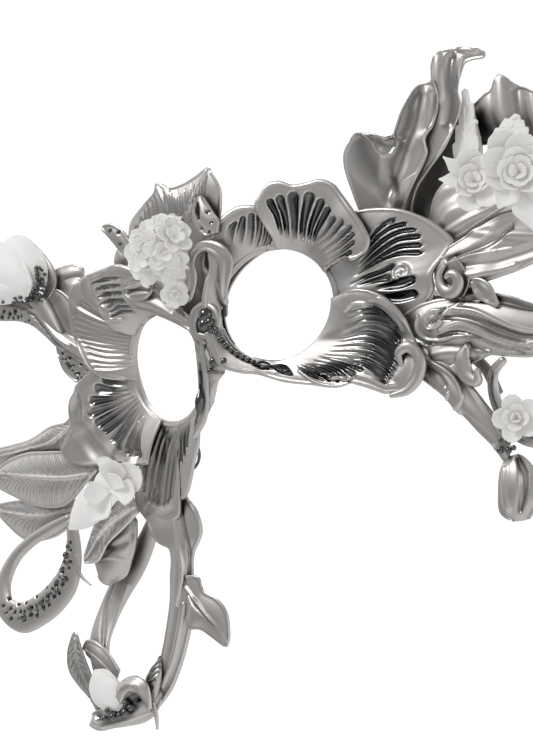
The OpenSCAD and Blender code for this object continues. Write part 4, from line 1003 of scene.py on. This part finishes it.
def bud_arm():
    return [
        bar(
            [[-146, 23, 76], [-134, 21, 72], [-121, 19, 67], [-111, 17, 60], [-105, 16, 51], [-100, 15, 42],
             [-93, 14, 34], [-85, 13, 24]], [1.4, 4, 5, 5.4, 5, 4.4, 4.2, 3.4], 2,
            marks=[
                ridge([[-116, 65], [-109, 62], [-105, 54], [-101, 45], [-95, 37]], [1.2, 1.6, 1.8, 1.5, 1],
                      1.3, 0.5),
                groove([[-128, 75], [-114, 65], [-108, 54], [-104, 44], [-97, 34], [-90, 27]],
                       [0.6, 0.9, 1, 1, 1, 0.6], 1.2, 0.3),
                ridge([[-110, 68], [-103, 54], [-98, 44], [-91, 35], [-85, 27]], 0.8, 0.6, 0.2)]
            + pits([[-140, 72], [-130, 69], [-122, 65], [-114, 57]], 14, [1.2, -1.2], 1.2)
            + pits([[-106, 39], [-101, 32], [-95, 24]], 7, [0.8, -1.2], 1)),
        bar([[-112, 15, 71], [-105, 15, 65], [-102, 15, 56], [-98, 15, 46]], [1.5, 4.5, 4.5, 1.5], 2.4),
        lobe([[-106, 46], [-108, 38], [-108, 30], [-104, 22]], [[-104, 44], [-99, 35], [-93, 26], [-92, 18]],
            20, 20, 1, 1.6, (0.7, 0.5), pits([[-105, 40], [-102, 32], [-99, 22]], 20, [0, -3, 3, -1.5], 1.1))]


def feather_leaf_rear():
    return [
        leaf([[-110, 22, 14], [-119, 22, 7], [-131, 23, 9], [-148, 25, 9], [-170, 29, 14], [-184, 31, 17]],
            [[-108, 21, -6], [-122, 22, -6], [-136, 24, -5], [-150, 26, -1], [-170, 29, 6], [-184, 31, 14]],
            2,
            marks=[
                ridge([[-110, 5], [-131, 2], [-148, 5], [-170, 10]], 0.9, 0.7, 0.9),
                # Broad low ridge painted paler, a painted highlight along the midrib
                ridge([[-112, -1], [-140, -1], [-175, 8]], 3, 0.1, 0.5)]
            + vein_pair([[-110, 5], [-131, 2], [-148, 5], [-182, 13]],
                        [[-110, 13], [-131, 8], [-148, 8], [-184, 16]],
                        [[-108, -5], [-136, -5], [-150, -1], [-184, 14]], 26), rims=(0.8, 0.4)),
        bar([[-116, 23, 3], [-105, 24, -2], [-92, 25, -9]], [2.4, 3, 2.4], 1.8)]


def feather_leaf_upper():
    return [
        leaf([[-108, 15, -14], [-126, 17, -6], [-136, 19, -2], [-150, 22, 3], [-165, 25, 5], [-182, 28, 4]],
            [[-108, 15, -23], [-119, 16, -26], [-133, 19, -29], [-144, 21, -27], [-158, 24, -20],
             [-170, 26, -10], [-182, 28, 1]], 3,
            marks=[
                ridge([[-109, -24], [-129, -18], [-149, -9], [-171, 1], [-182, 3]], [1.1, 1, 0.9, 0.8, 0.6],
                      1.2, 0.9),
                # Broad low ridges painted paler, painted highlights either side of the midrib
                ridge([[-116, -14], [-140, -6], [-170, 2]], 5, 0.1, 0.5),
                ridge([[-116, -25], [-140, -20], [-165, -9]], 4, 0.1, 0.6)]
            + vein_pair([[-109, -22], [-129, -18], [-149, -9], [-181, 3]],
                        [[-108, -14], [-126, -6], [-148, 2], [-181, 4]],
                        [[-110, -24], [-133, -29], [-155, -22], [-181, 1]], 34), rims=(0.9, 0.6)),
        bar([[-116, 17, -18], [-105, 19, -18], [-92, 24, -14]], [2.4, 3, 2.4], 1.8)]


def feather_leaf_lower():
    return [
        leaf([[-130, 25, -30], [-142, 26, -26], [-155, 28, -21], [-171, 30, -14], [-188, 33, -9]],
            [[-132, 25, -35], [-148, 28, -38], [-162, 30, -37], [-177, 32, -31], [-188, 33, -14]], 3,
            marks=[
                ridge([[-131, -33], [-146, -30], [-163, -25], [-187, -12]], [1, 0.9, 0.8, 0.6], 1.1, 0.9),
                # Broad low ridge painted paler, a painted highlight along the midrib
                ridge([[-135, -29], [-155, -24], [-180, -12]], 4, 0.1, 0.6)]
            + vein_pair([[-131, -33], [-146, -30], [-163, -25], [-187, -12]],
                        [[-130, -30], [-155, -21], [-171, -14], [-188, -9]],
                        [[-132, -35], [-148, -38], [-170, -35], [-188, -14]], 26), rims=(0.9, 0.6)),
        bar([[-138, 27, -32], [-124, 26, -27], [-108, 26, -16]], [2, 2.6, 2.2], 1.8)]


def left_blossom():
    made = [
        lobe([[-80, -37], [-84, -31], [-92, -28], [-99, -29], [-105, -34]],
             [[-80, -39], [-85, -43], [-94, -41], [-101, -38], [-105, -34]], 2, 3, 2),
        lobe([[-90, -40], [-97, -36], [-105, -32], [-112, -34], [-118, -39], [-123, -46]],
            [[-90, -43], [-97, -46], [-106, -49], [-115, -49], [-123, -46]], 2, -1, 3),
        lobe([[-82, -31], [-84, -28], [-87, -24], [-92, -23]],
             [[-82, -34], [-88, -31], [-92, -28], [-92, -23]], 0, -2, 0.5)]
    rows = [(10, 17, 15, 8, 22, 0.45, 0), (60, 14, 13, 14, 24, 0.5, 0.6), (215, 17, 12, 12, 10, 0.8, 0.6),
            (330, 13, 12, 18, 20, 0.5, 1.2), (170, 13, 11, 22, 20, 0.7, 1.6), (30, 10, 10, 30, 26, 0.5, 2.2)]
    return made + petals([-89, -3, -40], facing_axes(25, -5), rows)


def veined_leaf():
    return [leaf([[-84, 3, -47], [-96, 3, -45], [-106, 3, -47], [-116, 4, -54], [-124, 4, -61]],
        [[-84, 3, -54], [-95, 3, -57], [-107, 3, -60], [-117, 4, -65], [-125, 4, -63]], 1.5,
        marks=[
            ridge([[-85, -51], [-98, -52], [-109, -55], [-124, -62]], [1.1, 1, 0.9, 0.6], 1, 0.9),
            # Broad low ridge painted paler, a painted highlight along the midrib
            ridge([[-88, -49], [-105, -50], [-120, -58]], 4, 0.1, 0.6)]
        + vein_pair([[-85, -51], [-98, -52], [-109, -55], [-124, -62]],
                    [[-84, -47], [-96, -45], [-110, -49], [-124, -61]],
                    [[-84, -54], [-101, -58], [-113, -63], [-125, -63]], 22, 0.5, 0.45), rims=(0.8, 0.6))]


def seed_pod():
    return [
        bar([[-97, 12, -53], [-104, 12, -58], [-112, 12, -64], [-118, 12, -69], [-123, 12, -73]],
            [5, 8.5, 10, 10, 5], [3, 5.5, 6, 5.5, 3],
            marks=[
                fold([[-122, -60], [-110, -62], [-102, -63], [-93, -61]], 2.8, -1.1, 0.15),
                fold([[-93, -53], [-99, -66], [-111, -78]], 2.4, -0.9, 0.1),
                ridge([[-120, -64], [-112, -66], [-104, -72], [-101, -78]], 0.8, 0.7, 0.3)]),
        bar([[-136, 13, -56], [-138, 13, -64], [-134, 13, -72]], [1, 1.1, 0.4], 0.8)]


def inner_ring():
    band = [[-134, -46], [-139, -57], [-148, -66], [-159, -71], [-172, -73], [-184, -71], [-193, -63]]
    return [
        bar(
            [[-132, 14, -40], [-138, 14, -54], [-147, 14, -64], [-158, 14, -69], [-170, 14, -71],
             [-182, 14, -70], [-190, 15, -61], [-188, 17, -50], [-178, 19, -41], [-165, 20, -37],
             [-150, 20, -36], [-138, 20, -36]], [3, 5, 7, 7.5, 7.5, 7.5, 6, 4.5, 3.4, 3, 3, 2.4], 2,
            marks=pits(band, 42, [-8, -3.5, -0.5, -5.5, -2], 1.25, 1.2)),
        bar([[-132, 14, -41], [-122, 17, -32], [-110, 21, -25], [-96, 25, -16]], [2.6, 2.8, 2.6, 2.2], 1.8),
        bar([[-140, 20, -36], [-129, 19, -36], [-118, 18, -30]], [2.4, 2.2, 2], 1.6)]


def inner_ring_beads():
    band = [[-134, -46], [-139, -57], [-148, -66], [-159, -71], [-172, -73], [-186, -71]]
    made = []
    for k in range(1, 14):
        x, z = beside(band, (k + 0.5) / 15, (-4.6, -2.2)[k % 2] + 0.5 * math.sin(4 * k))[0]
        made.append(ball([x, 12.3, z], 0.9 + 0.9 * scatter(k, 0.382)))
    return made


def outer_stem_left():
    return [bar(
        [[-86, 16, -58], [-100, 20, -66], [-112, 22, -72], [-124, 21, -79], [-134, 18, -88], [-141, 14, -98],
         [-143, 11, -109], [-141, 9, -119], [-136, 7, -131]], [4, 5.5, 6.5, 6.5, 6.2, 6.2, 6, 5.5, 5], 2,
        marks=[
            groove([[-126, -76], [-133, -84], [-137, -95], [-139, -104]], [0.8, 1.6, 1.6, 0.8], 0.9, 0.15,
                   0.3),
            ridge([[-118, -79], [-128, -89], [-137, -103], [-139, -118]], 1.4, 0.6, 0.3)])]


def outer_stem_right():
    return [leaf(
        [[-82, 7, -58], [-82, 6, -65], [-80, 6, -71], [-75, 6, -76], [-76, 6, -82], [-80, 6, -89],
         [-85, 6, -99], [-92, 6, -109], [-100, 6, -119], [-108, 6, -127], [-116, 6, -133]],
        [[-57, 7, -58], [-54, 6, -67], [-56, 6, -77], [-65, 6, -84], [-70, 6, -94], [-75, 6, -105],
         [-82, 6, -115], [-92, 6, -126], [-104, 6, -136], [-117, 6, -142]], 2.5, t=2.4,
        marks=[
            ridge([[-66, -58], [-66, -67], [-69, -80], [-73, -92], [-81, -103]], [1.5, 1.8, 1.6, 1.4, 1], 1.3,
                  0.9),
            groove([[-60, -60], [-62, -70], [-64, -80], [-68, -88], [-73, -97]], [0.8, 1.2, 1.2, 1, 0.6], 1.2,
                   0.2),
            ridge([[-78, -104], [-86, -114], [-96, -125], [-108, -134]], 1.6, 0.8, 0.4)], rims=(1, 0.5))]


def fork_leaf():
    return [leaf(
        [[-70, 3, -93], [-64, 3, -96], [-64, 3, -103], [-58, 3, -110], [-56, 3, -118], [-59, 3, -127],
         [-62, 3, -131]],
        [[-74, 3, -104], [-77, 3, -110], [-79, 3, -115], [-73, 3, -118], [-68, 3, -124], [-63, 3, -131]], 2,
        marks=[
            ridge([[-72, -97], [-69, -105], [-66, -113], [-62, -122], [-61, -129]], [0.9, 0.9, 0.8, 0.7, 0.4],
                  1.1),
            groove([[-73, -99], [-71, -106], [-67, -114], [-64, -121]], [0.6, 0.9, 0.8, 0.5], 0.8, 0.3, 0)],
        rims=(0.9, 0.5))]


def knot_cup():
    cup = leaf(
        [[-152, 4, -131], [-143, 2, -132], [-135, 1, -131], [-128, 1, -126], [-120, 2, -126], [-114, 3, -130],
         [-110, 5, -136]],
        [[-156, 4, -135], [-150, 2, -139], [-141, 1, -141], [-133, 1, -143], [-124, 2, -145], [-117, 3, -144],
         [-111, 5, -139]], 5, t=2,
        marks=[
            # Hollow of the cup painted dark, a painted shade
            fold([[-148, -134], [-139, -137], [-128, -136], [-118, -134]], [3, 5, 6, 4], -2.4, 0.8),
            ridge([[-152, -137], [-141, -140], [-128, -142], [-116, -143]], 0.8, 0.6, 0.6)], rims=(0.9, 0.6))
    crook = lobe(
        [[-131, -132], [-127, -127], [-120, -125], [-113, -127], [-110, -133], [-113, -143]],
        [[-131, -134], [-125, -132], [-119, -132], [-116, -134], [-114, -138], [-113, -143]], -3, -4, 3, 1.6,
        (0.7, 0.5),
        [ridge([[-130, -131], [-120, -127], [-112, -134]], 0.5, 0.4, 0.8),
         ridge([[-128, -132], [-119, -130], [-113, -138]], 0.5, 0.4, 0.8)])
    tip = bar([[-113, -1, -140], [-114, 0, -146], [-117, 1, -152]], [1.4, 1.2, 0.3], 1)
    return [cup, crook, tip] + knot_wraps()


def knot_leaves():
    return [
        leaf(
            [[-148, 6, -91], [-154, 5, -98], [-157, 5, -106], [-155, 5, -114], [-151, 5, -123],
             [-150, 5, -130]],
            [[-147, 6, -92], [-147, 5, -101], [-147, 5, -110], [-147, 5, -118], [-146, 5, -124],
             [-146, 5, -130]], 1.5,
            marks=[ridge([[-148, -94], [-150, -103], [-150, -113], [-148, -128]], 0.7, 0.8)]
            + vein_pair([[-148, -94], [-150, -103], [-150, -113], [-148, -128]],
                        [[-149, -93], [-156, -103], [-154, -116], [-150, -128]],
                        [[-147, -92], [-147, -105], [-147, -118], [-146, -128]], 10, 0.5, 0.4),
            rims=(0.8, 0.6)),
        leaf([[-148, 9, -99], [-144, 9, -97], [-138, 8, -101], [-134, 8, -108], [-131, 7, -117]],
            [[-147, 9, -102], [-145, 9, -106], [-142, 8, -111], [-140, 8, -117], [-137, 7, -122]], 1.5,
            marks=[ridge([[-147, -100], [-142, -105], [-138, -112], [-135, -119]], 0.7, 0.8)],
            rims=(0.8, 0.5))]


def knot_petal():
    return [
        lobe([[-140, -113], [-146, -119], [-146, -127], [-139, -135]],
             [[-140, -113], [-133, -116], [-129, -124], [-132, -131], [-139, -135]], 1, 0, 4),
        lobe([[-137, -118], [-141, -124], [-139, -131], [-132, -136]],
             [[-137, -118], [-130, -121], [-126, -128], [-128, -134], [-132, -136]], -2, -3, 3)]


def knot_wraps():
    """Ribbed tendril turned up the right stem, over the knot"""
    turns = [
        groove(
            [[-120 + 2.6 * k, -136 + 2.6 * k], [-115.5 + 2.6 * k, -134 + 2.6 * k],
             [-110 + 2.6 * k, -133 + 2.6 * k]], 0.6, 1.2, 0.5, 0) for k in range(6)]
    return [bar([[-116, 3, -137], [-112, 2, -132.5], [-107, 2.5, -127], [-103, 4.5, -121]],
        [3.5, 4.4, 3.6, 0.7], [2.4, 3, 2.4, 0.8], marks=turns)]


def knot_beads():
    """Small beads along the front of the knot"""
    return [
        ball([x, -5, z], r)
        for x, z, r in ((-140, -137, 1.7), (-135, -138, 2), (-131, -139, 1.6), (-127, -139, 2.1),
                        (-123, -138, 1.6), (-137, -134, 1.3), (-125, -135, 1.4))]


def loop_beads():
    """Small beads in the right loop's corner"""
    return [
        ball([x, 12, z], r)
        for x, z, r in ((113, -107, 1.9), (117, -109, 1.6), (119, -105, 1.7), (120, -109, 1.3),
                        (115, -103, 1.2))]


# Section of an opening's lip: distance out from the opening, and height
RIM_SECTION = ((2.2, -1.6), (1.2, -1.2), (0.6, 0.2), (0.5, 1.8), (0.9, 3.2), (1.8, 3.9), (2.6, 3.4),
               (3.2, 2.2), (3.2, 0.2), (2.9, -1.2))


def eye_rims():
    """Smooth oval lip round each opening, one closed ring a side"""
    made = []
    k = np.radians(np.linspace(0, 360, 181))
    for side in (-1, 1):
        rows = [at_eye(side, np.stack([(EYE_W + margin) * np.cos(k), (EYE_H + margin) * np.sin(k),
                                       np.full(len(k), z)], -1)) for margin, z in RIM_SECTION]
        grid = np.stack(rows, 1)
        index = np.arange(len(k) * len(rows)).reshape(len(k), len(rows))[:-1]
        nxt, up = np.roll(index, -1, 0), np.roll(index, -1, 1)
        faces = np.stack([index, up, np.roll(nxt, -1, 1), nxt], -1).reshape(-1, 4)
        zero = np.zeros(len(k) * len(rows))
        made.append((grid.reshape(-1, 3), [faces], zero, zero))
    return made


# ---------- materials ----------

# Satin silver; paler silver for burnish and painted highlight; near-black for painted dark reflection and
# painted shade
SILVER, BURNISH_AND_PAINTED_HIGHLIGHT, PAINTED_SHADE_AND_DARK_REFLECTION = (0.70, 0.675, 0.65), (0.9, 0.89, 0.88), (0.04, 0.04, 0.043)
# Base colour of the polished silver, dark as a painted dark reflection
PAINTED_DARK_REFLECTION_CHROME = (0.13, 0.13, 0.13, 1)
# The second of these is painted shade for the hollows of the white
WHITES, PAINTED_SHADE_WHITE = ((1, 0.992, 0.98), (0.97, 0.96, 0.945)), (0.55, 0.53, 0.48)


class Look:
    """A material's nodes, built on its Principled shader"""

    def __init__(self, name, **inputs):
        self.material = bpy.data.materials.new(name)
        self.material.use_nodes = True
        self.tree = self.material.node_tree
        self.shader = self.tree.nodes["Principled BSDF"]
        for title, value in inputs.items():
            self.shader.inputs[title.replace("_", " ")].default_value = value
        self.place = self.node("ShaderNodeTexCoord").outputs["Object"]

    def node(self, kind, links=(), **values):
        made = self.tree.nodes.new(kind)
        for title, value in values.items():
            setattr(made, title, value)
        for socket, value in links:
            if isinstance(value, bpy.types.NodeSocket):
                self.tree.links.new(value, made.inputs[socket])
            else:
                made.inputs[socket].default_value = value
        return made

    def noise(self, scale, detail=3, rough=0.5):
        return self.node("ShaderNodeTexNoise", [("Vector", self.place), ("Scale", scale), ("Detail", detail),
                                                ("Roughness", rough)]).outputs["Fac"]

    def mask(self, title):
        node = self.node("ShaderNodeAttribute", attribute_name=title, attribute_type="GEOMETRY")
        return node.outputs["Fac"]

    def open_air(self, distance):
        return self.node("ShaderNodeAmbientOcclusion", [("Distance", distance)], samples=6).outputs["AO"]

    def span(self, value, low, high):
        node = self.node("ShaderNodeMapRange", [("Value", value), ("To Min", low), ("To Max", high)])
        return node.outputs["Result"]

    def blend(self, factor, a, b):
        mix = self.node("ShaderNodeMix", data_type="RGBA")
        self.tree.links.new(factor, mix.inputs[0])
        for k, value in ((6, a), (7, b)):
            if isinstance(value, bpy.types.NodeSocket):
                self.tree.links.new(value, mix.inputs[k])
            else:
                mix.inputs[k].default_value = (*value, 1)
        return mix.outputs[2]

    def mix(self, factor, a, b):
        return self.node("ShaderNodeMix", [(0, factor), (2, a), (3, b)]).outputs[0]

    def bump(self, height, strength, distance):
        links = [("Height", height), ("Strength", strength), ("Distance", distance)]
        self.drive("Normal", self.node("ShaderNodeBump", links).outputs["Normal"])

    def drive(self, title, value):
        self.tree.links.new(value, self.shader.inputs[title])


def satin_silver(name, tone=1.0):
    """Cast silver: satin; glossy and painted near-black where 'polish' is 1, a painted dark reflection in
    grooves and a painted shade in folds; burnished and painted paler where 'shine' is 1, partly a painted
    highlight; darker in crevices and between parts, partly patina and partly painted shade
    """
    look = Look(name, Metallic=1.0)
    polish_and_painted_dark, shine = look.mask("polish_and_painted_dark"), look.mask("shine")
    base = look.blend(look.noise(28, 4), [v * tone * 0.92 for v in SILVER], [v * tone * 1.06 for v in SILVER])
    # Darker in crevices and between parts by ambient occlusion: partly patina, partly painted shade
    patina_and_painted_shade = look.blend(look.span(look.open_air(0.012), -0.25, 1.1), [v * 0.3 for v in SILVER], base)
    # Base colour: painted near-black where polished, a painted dark reflection and shade, and painted paler
    # where shining, a painted highlight
    look.drive("Base Color", look.blend(polish_and_painted_dark, look.blend(shine, patina_and_painted_shade, BURNISH_AND_PAINTED_HIGHLIGHT), PAINTED_SHADE_AND_DARK_REFLECTION))
    soft = look.span(look.noise(90, 3), 0.37, 0.48)
    look.drive("Roughness", look.mix(polish_and_painted_dark, look.mix(shine, soft, 0.28), 0.11))
    look.drive("Coat Weight", polish_and_painted_dark)
    look.bump(look.noise(2600, 4, 0.6), 0.12, 0.0001)
    return look.material


def chrome(name):
    """Polished silver, painted dark in its base colour, a painted dark reflection that keeps it dark with
    highlights in a bright studio
    """
    look = Look(name, Metallic=1.0, Base_Color=PAINTED_DARK_REFLECTION_CHROME, Coat_Weight=1.0)
    look.drive("Roughness", look.span(look.noise(200), 0.03, 0.09))
    return look.material


def porcelain(name):
    """Unglazed white, with painted shade in its hollows and between petals, and a faint painted glow"""
    # Faint white emission: a painted glow, the white gives off light of its own
    look = Look(name, Roughness=0.5, Emission_Color=(1, 0.99, 0.97, 1), Emission_Strength=0.1)
    base = look.blend(look.noise(45, 3), *([0.985 * v for v in tint] for tint in WHITES))
    # Darker and warmer in hollows and between petals by ambient occlusion: painted shade
    look.drive("Base Color", look.blend(look.span(look.open_air(0.006), 0.0, 1.05), PAINTED_SHADE_WHITE, base))
    look.bump(look.noise(1400, 4), 0.15, 0.0001)
    return look.material


def suede(name):
    """Rough side of the lining's leather"""
    look = Look(name, Roughness=0.95)
    look.drive("Base Color", look.blend(look.noise(120, 5), (0.50, 0.45, 0.40), (0.62, 0.57, 0.52)))
    look.bump(look.noise(1800, 6, 0.7), 0.6, 0.0003)
    return look.material


# ---------- studio ----------

FLOOR_Z = -0.55


def add_world():
    """White sweep behind the mask, greyer in front and below, so that metal has something to reflect"""
    world = bpy.data.worlds.new("studio")
    bpy.context.scene.world = world
    world.use_nodes = True
    tree = world.node_tree
    link, new = tree.links.new, tree.nodes.new
    ways = new("ShaderNodeTexCoord").outputs["Generated"]

    def along(direction, stops):
        """Greys along a direction, each (place from 0 to 1, grey); both ends come first"""
        dot = new("ShaderNodeVectorMath")
        dot.operation = "DOT_PRODUCT"
        link(ways, dot.inputs[0])
        dot.inputs[1].default_value = direction
        span = new("ShaderNodeMapRange")
        link(dot.outputs["Value"], span.inputs["Value"])
        span.inputs["From Min"].default_value = -1
        ramp = new("ShaderNodeValToRGB")
        link(span.outputs["Result"], ramp.inputs["Fac"])
        for k, (at, grey) in enumerate(stops):
            stop = ramp.color_ramp.elements[k] if k < 2 else ramp.color_ramp.elements.new(at)
            stop.position = at
            stop.color = (grey, grey, grey, 1)
        return ramp.outputs["Color"]

    def times(a, b):
        mix = new("ShaderNodeMix")
        mix.data_type, mix.blend_type = "RGBA", "MULTIPLY"
        mix.inputs[0].default_value = 1
        link(a, mix.inputs[6])
        link(b, mix.inputs[7])
        return mix.outputs[2]

    depth = along(-BACK, [(0.0, 0.34), (1.0, 1.0), (0.45, 0.30), (0.62, 0.62)])
    height = along(UP, [(0.0, 0.35), (1.0, 1.0), (0.42, 0.55), (0.6, 0.95)])
    side = along(RIGHT, [(0.0, 1.0), (1.0, 0.62), (0.5, 0.85)])
    seen = new("ShaderNodeMix")
    seen.data_type = "RGBA"
    link(new("ShaderNodeLightPath").outputs["Is Camera Ray"], seen.inputs[0])
    link(times(times(depth, height), side), seen.inputs[6])
    seen.inputs[7].default_value = (1.0, 1.0, 1.0, 1)
    background = tree.nodes["Background"].inputs
    link(seen.outputs[2], background["Color"])
    background["Strength"].default_value = 1.15


def add_light(name, towards, distance, size, power):
    data = bpy.data.lights.new(name, "AREA")
    data.size = size
    data.energy = power
    light = bpy.data.objects.new(name, data)
    bpy.context.scene.collection.objects.link(light)
    light.location = towards.normalized() * distance
    light.rotation_mode = "QUATERNION"
    light.rotation_quaternion = (-towards).to_track_quat("-Z", "Y")


def add_studio():
    add_world()
    add_light("key", -RIGHT * 0.9 + UP * 0.9 + BACK * 0.45, 1.5, 0.5, 8)
    add_light("fill", RIGHT * 1.0 + UP * 0.1 + BACK * 0.7, 1.8, 1.4, 7)
    add_light("rim", RIGHT * 0.3 + UP * 1.0 - BACK * 0.8, 1.6, 0.8, 8)
    mesh = bpy.data.meshes.new("floor")
    mesh.from_pydata([(x, y, FLOOR_Z) for x, y in ((-3, -3), (3, -3), (3, 3), (-3, 3))], [], [(0, 1, 2, 3)])
    floor = bpy.data.objects.new("floor", mesh)
    bpy.context.scene.collection.objects.link(floor)
    look = Look("pale_floor", Roughness=0.8, Base_Color=(0.82, 0.82, 0.82, 1))
    mesh.materials.append(look.material)
    bpy.context.scene.view_settings.view_transform = "Standard"


# ---------- the whole ----------

SILVER_PIECES = [
    eye_rims, petal_right_inner, petal_right_brow, petal_right_outer, petal_right_cheek, petal_left_brow,
    petal_left_outer, petal_left_back, petal_left_cheek, petal_left_long, petal_left_nose, bridge_volute,
    bridge_ribbon_loop, bridge_ribbon_leaf, bridge_strip, forehead_leaf, dotted_leaves, plume_front,
    plume_tall, plume_rear, pale_drape, drape_leaf, drape_curls, scroll_arm_upper, scroll_arm_lower,
    scroll_curl, right_loop, right_loop_leaf, bud_sepal, bud_arm, feather_leaf_rear, feather_leaf_upper,
    feather_leaf_lower, veined_leaf, seed_pod, inner_ring, outer_stem_left, outer_stem_right, fork_leaf,
    knot_cup, knot_leaves
]
# Those of the silver pieces painted paler all over, a painted highlight
PAINTED_BRIGHT_PIECES = [forehead_leaf, feather_leaf_rear, feather_leaf_upper, feather_leaf_lower, veined_leaf]
CHROME_PIECES = [bridge_beads, inner_ring_beads]
WHITE_PIECES = [
    forehead_blossoms, forehead_floret, white_leaves, star_flower, white_rose, right_loop_flower,
    flower_bud, left_blossom, knot_petal
]


def dress(shapes, material, slot_name, painted_bright=None):
    """Puts each shape in the place of the CAD node that it is named after"""
    for shape in shapes:
        node = shape.__name__
        piece(node + "_look", shape(), painted_bright if painted_bright and shape in PAINTED_BRIGHT_PIECES else material, slot_name, node)


def build():
    # The second silver is a paler copy, a painted highlight for the leaves listed above
    silver, painted_bright = satin_silver("satin_silver"), satin_silver("painted_bright_silver", 1.32)
    polished, white, leather = chrome("polished_silver"), porcelain("porcelain"), suede("lining_leather")
    dress(SILVER_PIECES, silver, "satin_silver", painted_bright)
    dress(CHROME_PIECES, polished, "polished_silver")
    piece("small_beads_look", knot_beads() + loop_beads() + bud_grains(), polished, "polished_silver")
    dress(WHITE_PIECES, white, "porcelain")
    for node, look in (("face_plate", silver), ("face_lining", leather), ("temple_lugs", silver),
                       ("lug_rivets", polished), ("wing_frame", silver), ("tie_ring_right", polished),
                       ("tie_ring_left", polished)):
        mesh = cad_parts[node].data
        mesh.materials.clear()
        mesh.materials.append(look)


add_camera()
add_studio()
build()
